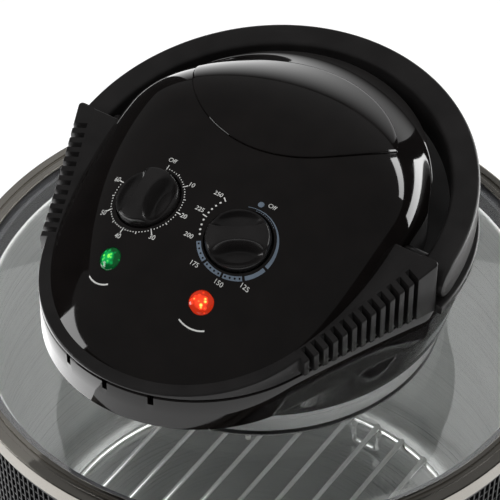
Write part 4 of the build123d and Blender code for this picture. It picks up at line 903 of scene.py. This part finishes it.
def wall_frame(side):
    """Plan frame of a side wall: local X outwards, local Y along the wall to the rear."""
    x, y = nose_corner()
    along = Vector((WALL_X - x, WALL_Y - y, 0)).normalized()
    out = Vector((along.y, -along.x, 0))
    place = Matrix((out, along, Vector((0, 0, 1)))).transposed().to_4x4()
    place.translation = Vector((x, y, RIM_Z))
    if side < 0:
        place = Matrix.Scale(-1, 4, Vector((1, 0, 0))) @ place
    return place


def build_side_blocks():
    """Side blocks and the lip round the nose, their tops following one curve to the rear."""
    r = settings().shell.wall_round / MM
    rings = [[(x, y, RIM_Z + SPLIT + rise) for x, y in blocks_outline(inset)]
             for inset, rise in ((0.6, 0.3), (0.0, 0.9))]
    tops = []
    for i in range(7):
        turn = pi / 2 * i / 6
        tops.append((r * (1 - cos(turn)), r * (1 - sin(turn))))
    tops += [(inset, 0.0) for inset in (2.5, 4.0, 6.0, 9.0, 12.0, 16.0, 20.0, 30.0)]
    for inset, drop in tops:
        rings.append([(x, y, RIM_Z + lip_height(y) - drop) for x, y in blocks_outline(inset)])
    blocks = make_mesh("head_side_blocks", *stack(rings), finish("satin_black"), "lid", smooth=35)
    cutters = [box_cutter("vent_room", (-VENT_DEPTH, VENT_START, SPLIT + VENT_FLOOR),
                          (20.0, VENT_START + 120.0, 120.0), wall_frame(side))
               for side in (-1, 1)]
    cut(blocks, cutters, smooth=35)
    foot = SPLIT + 0.3
    ledge = lathe("rear_ledge", rounded([
        (LEDGE_IN, foot, 0), (LEDGE_R - 0.4, foot, 0.4), (LEDGE_R, LEDGE_TOP, 1.2),
        (LEDGE_IN, LEDGE_TOP, 0)], 0.5), finish("satin_black"), "lid", steps=160,
        start=radians(-3.53), arc=radians(187.06), z=RIM_Z)
    section = [(PIVOT_Y + LUG_R, LUG_FOOT)]
    section += [(PIVOT_Y + LUG_R * cos(pi * i / 24), PIVOT_Z + LUG_R * sin(pi * i / 24))
                for i in range(25)]
    section.append((PIVOT_Y - LUG_R, LUG_FOOT))
    for side, word in ((-1, "left"), (1, "right")):
        rings = [[(x, y, RIM_Z + z) for y, z in section]
                 for x in sorted((side * LUG_IN, side * LUG_OUT))]
        lug = make_mesh(f"pivot_lug_{word}", *stack(rings), finish("satin_black"), "lid")


def build_vents():
    """Comb in each side wall: slots cut in a bar that ends in a solid block at the rear."""
    r = settings().shell.wall_round / MM
    corner = 5
    turns = [pi / 2 * i / corner for i in range(corner + 1)]
    section = [(-VENT_DEPTH, None), (VENT_PROUD, None)]
    section += [(VENT_PROUD - r + r * cos(turn), r - r * sin(turn)) for turn in turns]
    section.append((-VENT_DEPTH, 0.0))
    low = RIM_Z + SPLIT + VENT_FLOOR + 0.1
    for side, word in ((-1, "left"), (1, "right")):
        place = wall_frame(side)
        start = place @ Vector((0, 0, 0))
        along = (place @ Vector((0, 1, 0))) - start
        out = (place @ Vector((1, 0, 0))) - start
        run = (WALL_Y - start.y) / along.y - VENT_START
        steps = int(run / 1.5)
        stops = [(i / steps * (1 - END_ROUND / run), 0.0) for i in range(steps)]
        stops += [(1 - END_ROUND * (1 - sin(turn)) / run, END_ROUND * (1 - cos(turn)))
                  for turn in turns]
        rings = []
        for share, draw in stops:
            ring = []
            for reach, drop in section:
                if reach > 0:
                    reach -= draw
                rear = (WALL_Y - start.y - out.y * reach) / along.y
                spot = place @ Vector((reach, VENT_START + (rear - VENT_START) * share, 0))
                high = RIM_Z + lip_height(spot.y)
                ring.append((spot.x, spot.y, low if drop is None else high - drop))
            rings.append(ring)
        vent = make_mesh(f"vent_comb_{word}", *stack(rings), finish("satin_black"), None)
        slots = []
        for i in range(VENT_FINS - 1):
            gap = VENT_START + 2 * VENT_HALF + i * VENT_PITCH
            slots.append(box_cutter("slot", (VENT_PROUD - VENT_CUT, gap, SPLIT),
                                    (VENT_PROUD + 5.0, gap + VENT_SLOT, 140.0), place))
        cut(vent, slots, smooth=35)
        edge = vent.modifiers.new("edge", "BEVEL")
        edge.width = VENT_EDGE * MM
        edge.segments = 2
        edge.limit_method = "ANGLE"
        edge.angle_limit = radians(60)
        apply_modifiers(vent)
        vent.data.shade_smooth()
        vent.data.set_sharp_from_angle(angle=radians(50))
        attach(vent, "lid")
        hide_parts(f"side_vent_{word}")


CAP_R, CAP_TURN, CAP_FRONT, CAP_RISE = 71.3, radians(27.8), -13.0, 1.15


def build_cap_plate():
    """Raised plate on the rear of the crown, between a front arc and a rear arc."""
    corner_x, corner_y = CAP_R * cos(CAP_TURN), CAP_R * sin(CAP_TURN)
    rise = corner_y - CAP_FRONT
    front_r = (corner_x**2 + rise**2) / (2 * rise)
    centre_y = CAP_FRONT + front_r

    def spot(u, v):
        x = corner_x * u
        low = centre_y - sqrt(front_r**2 - x * x)
        high = sqrt(CAP_R**2 - x * x)
        return x, low + (high - low) * v

    def laid(x, y, lift):
        return x, y, RIM_Z + crown_height(x, y) + lift

    across = 72
    us = [sin(pi / 2 * (2 * i / across - 1)) for i in range(across + 1)]
    edge = [spot(u, 0.0) for u in us] + [spot(u, 1.0) for u in us[-2:0:-1]]
    middle = spot(0, 0.5)
    rings = []
    for inset, lift in ((0.2, 0.15), (0.0, 0.35), (0.0, 0.75), (0.25, 1.05), (0.7, CAP_RISE)):
        ring = []
        for x, y in edge:
            gap = Vector((middle[0] - x, middle[1] - y))
            gap *= inset / gap.length
            ring.append(laid(x + gap.x, y + gap.y, lift))
        rings.append(ring)
    steps = 26
    for j in range(1, steps):
        share = j / steps
        rings.append([laid(x + (middle[0] - x) * share, y + (middle[1] - y) * share, CAP_RISE)
                      for x, y in edge])
    cap = make_mesh("crown_cap", *stack(rings), finish("polished_black"), "lid")
    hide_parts("cap_plate")


def build_handle():
    """Half-ring handle that folds flat round the rear of the crown."""
    r = settings().shell.handle_round / MM
    half_w, half_h = HANDLE_W / 2, HANDLE_H / 2
    middle_r = HANDLE_IN + half_w
    section = rounded([(-half_w, -half_h), (half_w, -half_h), (half_w, half_h),
                       (-half_w, half_h)], r, steps=5)

    def end_rings(side):
        """Rings that close in on the tip, which is rounded in its height."""
        made = []
        for i in range(12):
            turn = pi / 2 * i / 12
            back = half_h * cos(turn)
            squash = max(sin(turn), 0.02)
            y = PIVOT_Y - back * cos(HANDLE_TILT)
            z = RIM_Z + PIVOT_Z - back * sin(HANDLE_TILT)
            made.append([(side * middle_r + side * out, y, z + up * squash)
                         for out, up in section])
        return made

    rings = end_rings(1)
    steps = 120
    for i in range(steps + 1):
        turn = pi * i / steps
        if middle_r * sin(turn) <= PIVOT_Y + 0.5 and i not in (0, steps):
            continue
        ring = []
        for out, up in section:
            x, y = (middle_r + out) * cos(turn), max(PIVOT_Y, (middle_r + out) * sin(turn))
            z = RIM_Z + PIVOT_Z + (y - PIVOT_Y) * tan(HANDLE_TILT) + up / cos(HANDLE_TILT)
            ring.append((x, y, z))
        rings.append(ring)
    rings += end_rings(-1)[::-1]
    bar = make_mesh("carry_handle", *stack(rings), finish("satin_black"), "handle", smooth=35)
    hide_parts("handle")


# ================================================================ dials
KNOB_R, KNOB_FOOT, KNOB_TOP, KNOB_EDGE, KNOB_SHAFT = 17.0, -5.6, 8.5, 1.6, 3.2
RIDGE_HALF, RIDGE_FALL = 3.6, 4.2
SCOOP_MIDDLE, SCOOP_HALF_W, SCOOP_HALF_L, SCOOP_FLOOR, LIP_LEVEL = 9.4, 6.2, 15.8, -0.8, 2.4


def smooth_step(value):
    value = min(1.0, max(0.0, value))
    return value * value * (3 - 2 * value)


def knob_height(across, along):
    """Height of the knob's top: an arched ridge between two scoops with a low outer lip."""
    crest = KNOB_TOP - RIDGE_FALL * (along / KNOB_R) ** 2
    side = smooth_step((abs(across) - RIDGE_HALF) / (KNOB_R - 2 - RIDGE_HALF))
    height = crest + (LIP_LEVEL - crest) * side
    reach = ((abs(across) - SCOOP_MIDDLE) / SCOOP_HALF_W) ** 2 + (along / SCOOP_HALF_L) ** 2
    if reach < 1:
        height += (SCOOP_FLOOR - height) * smooth_step(1.25 * (1 - reach))
    edge = (hypot(across, along) - KNOB_R + KNOB_EDGE) / KNOB_EDGE
    if edge > 0:
        height -= (height + 0.5) * (1 - sqrt(max(0.0, 1 - edge * edge))) * 0.8
    return height


def build_knob(name, node, body, place, turn):
    """Knob turned clockwise from the dial's off mark, its ridge along local +Y at rest."""
    count, levels = 192, 56
    rings = [circle(r, count, z) for r, z in (
        (KNOB_SHAFT, KNOB_FOOT), (KNOB_R - 0.4, KNOB_FOOT), (KNOB_R, KNOB_FOOT + 0.4),
        (KNOB_R, -1.5))]
    for j in range(levels):
        ring = []
        for x, y, _ in circle(KNOB_R * (1 - (j / levels) ** 1.3), count):
            across = x * cos(turn) - y * sin(turn)
            along = x * sin(turn) + y * cos(turn)
            ring.append((x, y, knob_height(across, along)))
        rings.append(ring)
    knob = make_mesh(name, *stack(rings), finish("knob_black"), body, place, smooth=50)
    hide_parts(node)


def build_knobs():
    build_knob("minute_knob", "timer_knob", "timer", TIMER_FRAME, 0.0)
    build_knob("heat_dial_knob", "heat_knob", "temperature", HEAT_FRAME, radians(56))


SCALE_R, TICK_HALF = 20.0, 0.7
PRINT_LIFT, PRINT_SUNK, DOT_LIFT = 0.08, -0.1, 0.1      # of a print's faces, from the crown
TIMER_SWEEP, TIMER_MINUTES = 285.0, 60


def on_crown(place, x, y, lift):
    """Point of a dial's print: local plan coordinates dropped on the crown."""
    spot = place @ Vector((x, y, 0))
    return spot.x, spot.y, RIM_Z + crown_height(spot.x, spot.y) + lift


def print_forms(name, forms, material):
    """One printed piece on the lid, made of several forms."""
    piece = make_mesh(name, *joined(forms), material, "lid", smooth=30)


def print_bands(name, place, bands, material):
    """Printed arcs in one piece: each has a radius, a start, an end and two widths."""
    forms = []
    for radius, start, end, first, last in bands:
        steps = max(2, int(abs(end - start) / 3))
        n = steps + 1
        points = []
        for lift in (PRINT_LIFT, PRINT_SUNK):
            for side in (-1, 1):
                for i in range(n):
                    share = i / steps
                    turn = radians(start + (end - start) * share)
                    r = radius + side * (first + (last - first) * share) / 2
                    points.append(on_crown(place, r * sin(turn), r * cos(turn), lift))
        faces = []
        for i in range(steps):
            faces += [(i, i + 1, n + i + 1, n + i),
                      (3 * n + i, 3 * n + i + 1, 2 * n + i + 1, 2 * n + i),
                      (2 * n + i, 2 * n + i + 1, i + 1, i),
                      (n + i, n + i + 1, 3 * n + i + 1, 3 * n + i)]
        faces += [(0, n, 3 * n, 2 * n), (n - 1, 3 * n - 1, 4 * n - 1, 2 * n - 1)]
        forms.append((points, faces))
    print_forms(name, forms, material)


def print_dots(name, place, spots, size, material, lift=DOT_LIFT):
    """Small round dots of a dial, in one piece."""
    forms = []
    for turn, radius in spots:
        t = radians(turn)
        forms.append(stack([
            [on_crown(place, radius * sin(t) + x, radius * cos(t) + y, height)
             for x, y, _ in circle(size, 16)] for height in (PRINT_SUNK, lift)]))
    print_forms(name, forms, material)


def print_words(name, place, words, size, material):
    """Numbers and words round a dial, upright as seen from the front, in one piece."""
    forms = []
    for text, turn, radius in words:
        curve = bpy.data.curves.new("word", "FONT")
        curve.body = text
        curve.size = size
        curve.align_x = "CENTER"
        curve.align_y = "CENTER"
        curve.extrude = 0.05
        data = baked(curve)
        t = radians(turn)
        points = [on_crown(place, radius * sin(t) + v.co.x, radius * cos(t) + v.co.y, v.co.z)
                  for v in data.vertices]
        forms.append((points, [tuple(p.vertices) for p in data.polygons]))
        bpy.data.meshes.remove(data)
    print_forms(name, forms, material)


def print_timer_scale():
    """A dot for each minute, a tick for each fifth, and a longer tick and number for each tenth."""
    white = finish("printed_white")
    step = TIMER_SWEEP / TIMER_MINUTES
    dots = [(m * step, SCALE_R) for m in range(TIMER_MINUTES + 1) if m % 5]
    ticks = []
    for minute in range(0, TIMER_MINUTES + 1, 5):
        reach = 1.4 if minute % 10 else 3.0
        turn = minute * step
        ticks.append((SCALE_R + reach / 4, turn - TICK_HALF, turn + TICK_HALF, reach, reach))
    words = [(str(m) if m else "Off", m * step, 24.2 if m else 25.6)
             for m in range(0, TIMER_MINUTES + 1, 10)]
    print_dots("timer_minutes", TIMER_FRAME, dots, 0.33, white)
    print_bands("timer_ticks", TIMER_FRAME, ticks, white)
    print_words("timer_numbers", TIMER_FRAME, words, 3.7, white)


def print_heat_scale():
    """A line that swells into a banded scale, then dots up to the hottest setting."""
    white, grey = finish("printed_white"), finish("printed_grey")
    spans = ((140, 168.5), (172, 201), (205, 237.5))
    bands = [(SCALE_R, -20, 30, 0.25, 0.6), (SCALE_R, 30, 101, 0.6, 1.9),
             (SCALE_R, 105, 136, 2.0, 2.0)]
    bands += [(SCALE_R, start, end, 2.3, 2.3) for start, end in spans]
    print_bands("heat_scale", HEAT_FRAME, bands, grey)
    print_bands("heat_dashes", HEAT_FRAME, [
        (SCALE_R - 1.0, t, t + 2.2, 0.3, 0.3) for t in range(-6, 36, 4)], grey)
    print_dots("heat_off_mark", HEAT_FRAME, [(-5, 23.4)], 1.65, grey)
    print_dots("heat_scale_holes", HEAT_FRAME, [
        (start + (end - start) * (i + 0.5) / 4, SCALE_R)
        for start, end in spans for i in range(4)], 0.5, finish("polished_black"), 0.18)

    def outer(turn):
        return SCALE_R + 0.085 * max(0.0, turn - 249)

    turns = [249 + 7.7 * i for i in range(4)] + [284.3 + 6.5 * i for i in range(4)]
    print_dots("heat_dots", HEAT_FRAME, [(t, outer(t)) for t in turns], 0.55, white)
    print_bands("heat_ticks", HEAT_FRAME, [
        (outer(t) + 0.6, t - TICK_HALF, t + TICK_HALF, 2.8, 2.8) for t in (278, 310)], white)
    words = [("Off", 8, 25.4), ("125", 138, 24.0), ("150", 170, 24.0), ("175", 208, 25.0),
             ("200", 246, 25.6), ("225", 281, 28.0), ("250", 306, 30.5)]
    print_words("heat_numbers", HEAT_FRAME, words, 3.5, white)


def build_dial_prints():
    """Scales printed on the crown round both knobs, and a short arc below each lamp."""
    print_timer_scale()
    print_heat_scale()
    for side, word, start in ((-1, "timer", 222), (1, "heat", 198)):
        print_bands(f"{word}_lamp_arc", lamp_frame(side),
                    [(13.6, start, start - 62, 0.7, 0.7)], finish("printed_white"))


def build_lamps():
    """Lenses of the two lamps: a smooth collar round a faceted dome."""
    corners, smooth_rings = 12, 4
    sector = 2 * pi / corners
    profile = ((LAMP_R, -6.0), (LAMP_R, -0.2), (LAMP_R - 0.3, 0.3), (5.0, 1.1), (3.9, 1.7),
               (2.6, 2.1), (1.2, 2.3))
    for side, node, name, material in ((-1, "timer_lamp", "green_lamp_lens", "green_lens"),
                                       (1, "heat_lamp", "red_lamp_lens", "red_lens")):
        rings = []
        for j, (r, z) in enumerate(profile):
            faceted = j >= smooth_rings
            shift = 0.5 * (j % 2) if faceted else 0.0
            ring = []
            for i in range(corners * 4):
                turn = 2 * pi * (i / 4 + shift) / corners
                flat = 2 * pi * (i // 4 + shift) / corners
                facet = cos(pi / corners) / cos((turn - flat) % sector - pi / corners)
                reach = r * facet if faceted else r
                ring.append((reach * cos(turn), reach * sin(turn), z))
            rings.append(ring)
        lens = make_mesh(name, *stack(rings), finish(material), "lid", lamp_frame(side),
                         smooth=8)
        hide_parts(node)


# ================================================================ dressing of the model's own nodes
NODE_FINISHES = {
    "foot_rubber": ("foot_ring",),
    "matt_black": ("base_plate", "rim_support", "grip_left", "grip_right", "cable_gland",
                   "safety_switch", "cooling_fan", "safety_plunger"),
    "black_steel": ("hinge_bracket", "lid_arm", "motor"),
    "liner_sheet": ("heat_shield", "glass_clamp", "motor_bracket"),
    "chromed_wire": ("rack_feet", "guard_rings", "guard_spokes"),
    "seal_rubber": ("rim_seal",),
    "mica_sheet": ("heat_board",),
    "bright_reflector": ("reflector", "circulation_fan"),
    "quartz": ("halogen_tube",),
    "ceramic_white": ("tube_holders", "timer_unit", "thermostat", "terminal_block"),
    "bulb_glass": ("lamp_bulbs",),
}


def dress_nodes():
    """Gives every node of the model that still shows its finish."""
    for name, nodes in NODE_FINISHES.items():
        for node in nodes:
            assign(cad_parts[node], finish(name))
    for node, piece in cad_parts.items():
        if not piece.get("dressed") and not piece.hide_render:
            assign(piece, finish("plated_screw"))


def assign(piece, material):
    if not piece.material_slots:
        raise RuntimeError(f"{piece.name} has no material slot")
    for holder in piece.material_slots:
        holder.material = material
    piece["dressed"] = True


# ================================================================ stage
FLOOR_HALF, FLOOR_THICK = 9000.0, 8.0
CANOPY_Z, CANOPY_R = 1600.0, 7000.0
CARD_BACK = 0.3        # level of a one-sided card's back
EYE_Z = RIM_Z + 90     # height from which the upright cards' angles are measured
LID_CARD_IN, LID_CARD_OUT, LID_CARD_Z = 106, 225, RIM_Z + 6
LID_LIGHT_R, LID_LIGHT_Z = 1500.0, 1500.0
CAMERA_LENS, CAMERA_ASIDE, CAMERA_RISE = 172.8, 0.005732, 0.027278
UPRIGHT_CARDS = (      # name, direction, lowest and highest angle, half width, distance, level
    ("window_card", -143.0, -4.0, 14.0, 11.0, 900.0, 4.6),
    ("flank_card_low", 58.0, -22.0, 2.0, 21.0, 880.0, 6.0),
    ("flank_card_high", 63.0, 14.5, 21.0, 18.0, 880.0, 6.0),
)


def soft_light(name, size, energy, place, target):
    """Area lamp that lights the object but isn't mirrored in it."""
    lamp = bpy.data.lights.new(name, "AREA")
    lamp.shape = "RECTANGLE"
    lamp.size, lamp.size_y = size
    lamp.energy = energy
    holder = bpy.data.objects.new(name, lamp)
    bpy.context.scene.collection.objects.link(holder)
    holder.location = place
    holder.rotation_euler = (Vector(target) - Vector(place)).to_track_quat("-Z", "Y").to_euler()
    holder.visible_glossy = False


def stage_card(name, corners, level, fade=None, one_sided=False):
    """Studio card that only reflections see.  White at level 1, it may fade out between two
    heights, or be dim on its back."""
    glow = Finish(name)
    glow.set(Base_Color=(0, 0, 0, 1), Specular_IOR_Level=0.0, Emission_Color=(1, 1, 1, 1),
             Emission_Strength=level)
    if fade or one_sided:
        place = glow.node("ShaderNodeNewGeometry")
        if fade:
            parts = glow.node("ShaderNodeSeparateXYZ")
            glow.link(place.outputs["Position"], parts.inputs[0])
            strength = glow.spread(parts.outputs["Z"], level, 0.0, fade[0] * MM, fade[1] * MM)
        else:
            strength = glow.spread(place.outputs["Backfacing"], level, CARD_BACK, 0.0, 1.0)
        glow.link(strength, glow.shader.inputs["Emission Strength"])
    card = make_mesh(name, corners, [tuple(range(len(corners)))], glow.material, None, smooth=0)
    card.visible_camera = False
    card.visible_diffuse = False
    card.visible_transmission = False
    card.visible_volume_scatter = False
    card.visible_shadow = False
    return card


def glossy_level(tree, low, high):
    """Strength that is high for camera, glossy and transmission rays, and low for others."""
    paths = tree.nodes.new("ShaderNodeLightPath")
    total = paths.outputs["Is Camera Ray"]
    for kind in ("Is Glossy Ray", "Is Transmission Ray"):
        either = tree.nodes.new("ShaderNodeMath")
        either.operation = "MAXIMUM"
        tree.links.new(total, either.inputs[0])
        tree.links.new(paths.outputs[kind], either.inputs[1])
        total = either.outputs[0]
    level = tree.nodes.new("ShaderNodeMapRange")
    level.inputs["To Min"].default_value = low
    level.inputs["To Max"].default_value = high
    tree.links.new(total, level.inputs["Value"])
    return level.outputs["Result"]


def upright_card(name, turn, low, high, half, distance, level, fade=False):
    """Reflected card that faces the axis: turns and angles in degrees, distance in mm."""
    a = radians(turn)
    middle = Vector((cos(a), sin(a), 0)) * distance
    side = Vector((-sin(a), cos(a), 0)) * distance * tan(radians(half))
    bottom, top = (EYE_Z + distance * tan(radians(angle)) for angle in (low, high))
    corners = [middle + side * sign + Vector((0, 0, z))
               for sign, z in ((-1, bottom), (1, bottom), (1, top), (-1, top))]
    stage_card(name, corners, level, (bottom, top) if fade else None)


def build_stage():
    """Pale floor, soft light, white surroundings and the camera."""
    s = settings().stage
    scene = bpy.context.scene
    scene.view_settings.view_transform = "Standard"
    world = bpy.data.worlds.new("room")
    scene.world = world
    world.use_nodes = True
    back = world.node_tree.nodes["Background"]
    back.inputs["Color"].default_value = (1, 1, 1, 1)
    world.node_tree.links.new(glossy_level(world.node_tree, s.fill, 1.0), back.inputs["Strength"])

    paint = Finish("floor_paint")
    cloud = paint.noise(paint.stretched(), 3.0, detail=2.0)
    paint.tint(cloud, [c * 0.985 for c in s.floor], s.floor)
    paint.link(paint.spread(cloud, 0.55, 0.65), paint.shader.inputs["Roughness"])
    paint.link(glossy_level(paint.tree, 0.0, s.floor_glow),
               paint.shader.inputs["Emission Strength"])
    paint.set(Emission_Color=(1, 1, 1, 1), Specular_IOR_Level=0.2)
    points, faces = stack([
        [(x * FLOOR_HALF, y * FLOOR_HALF, z) for x, y in ((-1, -1), (1, -1), (1, 1), (-1, 1))]
        for z in (-FLOOR_THICK, 0)])
    make_mesh("floor", points, faces, paint.material, None, smooth=0)

    stage_card("dark_canopy", circle(CANOPY_R, 48, CANOPY_Z), 0.13)
    for i in range(24):
        upright_card(f"dark_drum_{i + 1}", i * 15.0, -21.5, 13.0, 7.6, 1000.0, 0.02)
    for values in UPRIGHT_CARDS:
        upright_card(*values)
    upright_card("rear_card", 112.0, -24.0, 14.0, 24.0, 900.0, 2.6, fade=True)
    sweep = [radians(150 + 6 * i) for i in range(19)]
    outer, inner = [[(r * cos(a), r * sin(a), LID_CARD_Z) for a in sweep]
                    for r in (LID_CARD_OUT, LID_CARD_IN)]
    stage_card("lid_card", outer + inner[::-1], 2.8, one_sided=True)
    into_bowl = stage_card("lid_light", circle(LID_LIGHT_R, 24, LID_LIGHT_Z), 2.6)
    into_bowl.visible_glossy = False
    into_bowl.visible_transmission = True
    soft_light("window_left", (0.9, 1.4), 11.0, (-1.3, -1.0, 1.5), (0, 0, 0.3))
    soft_light("ceiling", (1.6, 1.6), 9.0, (0.2, 0.3, 2.3), (0, 0, 0.2))

    ce, se = cos(s.elevation), sin(s.elevation)
    ca, sa = cos(s.azimuth), sin(s.azimuth)
    right = Vector((ca, sa, 0))
    back_dir = Vector((sa * ce, -ca * ce, se))
    up = back_dir.cross(right)
    lens = bpy.data.cameras.new("camera")
    lens.lens = CAMERA_LENS
    lens.clip_start, lens.clip_end = 0.05, 60
    camera = bpy.data.objects.new("camera", lens)
    scene.collection.objects.link(camera)
    view = Matrix((right, up, back_dir)).transposed().to_4x4()
    view.translation = (Vector((0, 0, RIM_Z * MM)) + back_dir * s.distance
                        - right * CAMERA_ASIDE + up * CAMERA_RISE)
    camera.matrix_world = view
    scene.camera = camera


# ================================================================ operators
class OVEN_OT_casing(bpy.types.Operator):
    """Builds the casing's shell, slats and hoops"""

    bl_idname = "oven.casing"
    bl_label = "Casing"

    def execute(self, context):
        build_casing()
        return {"FINISHED"}


class OVEN_OT_bowl(bpy.types.Operator):
    """Builds the drawn steel bowl"""

    bl_idname = "oven.bowl"
    bl_label = "Bowl"

    def execute(self, context):
        build_bowl()
        return {"FINISHED"}


class OVEN_OT_rack(bpy.types.Operator):
    """Builds the low wire rack"""

    bl_idname = "oven.rack"
    bl_label = "Rack"

    def execute(self, context):
        build_rack()
        return {"FINISHED"}


class OVEN_OT_lid_glass(bpy.types.Operator):
    """Builds the glass ring of the lid"""

    bl_idname = "oven.lid_glass"
    bl_label = "Lid glass"

    def execute(self, context):
        build_lid_glass()
        return {"FINISHED"}


class OVEN_OT_rim(bpy.types.Operator):
    """Builds the rim band and the collar"""

    bl_idname = "oven.rim"
    bl_label = "Rim and collar"

    def execute(self, context):
        build_rim()
        return {"FINISHED"}


class OVEN_OT_housing(bpy.types.Operator):
    """Builds the head's lower shell"""

    bl_idname = "oven.housing"
    bl_label = "Lower shell"

    def execute(self, context):
        build_housing()
        return {"FINISHED"}


class OVEN_OT_crown(bpy.types.Operator):
    """Builds the polished crown"""

    bl_idname = "oven.crown"
    bl_label = "Crown"

    def execute(self, context):
        build_crown()
        return {"FINISHED"}


class OVEN_OT_side_blocks(bpy.types.Operator):
    """Builds the side blocks, lip, rear ledge and pivot lugs"""

    bl_idname = "oven.side_blocks"
    bl_label = "Side blocks"

    def execute(self, context):
        build_side_blocks()
        return {"FINISHED"}


class OVEN_OT_vents(bpy.types.Operator):
    """Builds the two vent combs"""

    bl_idname = "oven.vents"
    bl_label = "Vents"

    def execute(self, context):
        build_vents()
        return {"FINISHED"}


class OVEN_OT_cap(bpy.types.Operator):
    """Builds the raised plate on the crown"""

    bl_idname = "oven.cap"
    bl_label = "Cap plate"

    def execute(self, context):
        build_cap_plate()
        return {"FINISHED"}


class OVEN_OT_handle(bpy.types.Operator):
    """Builds the folding handle"""

    bl_idname = "oven.handle"
    bl_label = "Handle"

    def execute(self, context):
        build_handle()
        return {"FINISHED"}


class OVEN_OT_knobs(bpy.types.Operator):
    """Builds both dial knobs"""

    bl_idname = "oven.knobs"
    bl_label = "Knobs"

    def execute(self, context):
        build_knobs()
        return {"FINISHED"}


class OVEN_OT_dial_prints(bpy.types.Operator):
    """Prints the scales round the knobs"""

    bl_idname = "oven.dial_prints"
    bl_label = "Dial prints"

    def execute(self, context):
        build_dial_prints()
        return {"FINISHED"}


class OVEN_OT_lamps(bpy.types.Operator):
    """Builds the two lamp lenses"""

    bl_idname = "oven.lamps"
    bl_label = "Lamps"

    def execute(self, context):
        build_lamps()
        return {"FINISHED"}


class OVEN_OT_finishes(bpy.types.Operator):
    """Gives the model's own nodes their finishes"""

    bl_idname = "oven.finishes"
    bl_label = "Node finishes"

    def execute(self, context):
        dress_nodes()
        return {"FINISHED"}


class OVEN_OT_stage(bpy.types.Operator):
    """Sets up the floor, light and camera"""

    bl_idname = "oven.stage"
    bl_label = "Stage"

    def execute(self, context):
        build_stage()
        return {"FINISHED"}


STEPS = (
    OVEN_OT_casing, OVEN_OT_bowl, OVEN_OT_rack, OVEN_OT_lid_glass, OVEN_OT_rim, OVEN_OT_housing,
    OVEN_OT_crown, OVEN_OT_side_blocks, OVEN_OT_vents, OVEN_OT_cap, OVEN_OT_handle,
    OVEN_OT_knobs, OVEN_OT_dial_prints, OVEN_OT_lamps, OVEN_OT_finishes, OVEN_OT_stage,
)


class OVEN_PT_dresser(bpy.types.Panel):
    """Lists the oven's pieces and settings"""

    bl_idname = "OVEN_PT_dresser"
    bl_label = "Halogen Oven"
    bl_space_type = "VIEW_3D"
    bl_region_type = "UI"
    bl_category = "Oven"

    def draw(self, context):
        layout = self.layout
        for group in (settings().shell, settings().colour, settings().stage):
            box = layout.box()
            for name in group.__annotations__:
                box.prop(group, name)
        for step in STEPS:
            layout.operator(step.bl_idname)


CLASSES = (OvenShellSettings, OvenColourSettings, OvenStageSettings, OvenSettings, *STEPS,
           OVEN_PT_dresser)


def register():
    for made in CLASSES:
        bpy.utils.register_class(made)
    bpy.types.Scene.oven_dresser = PointerProperty(type=OvenSettings)


def unregister():
    del bpy.types.Scene.oven_dresser
    for made in reversed(CLASSES):
        bpy.utils.unregister_class(made)


def main():
    register()
    for step in STEPS:
        group, name = step.bl_idname.split(".")
        getattr(getattr(bpy.ops, group), name)()


if __name__ == "__main__":
    main()
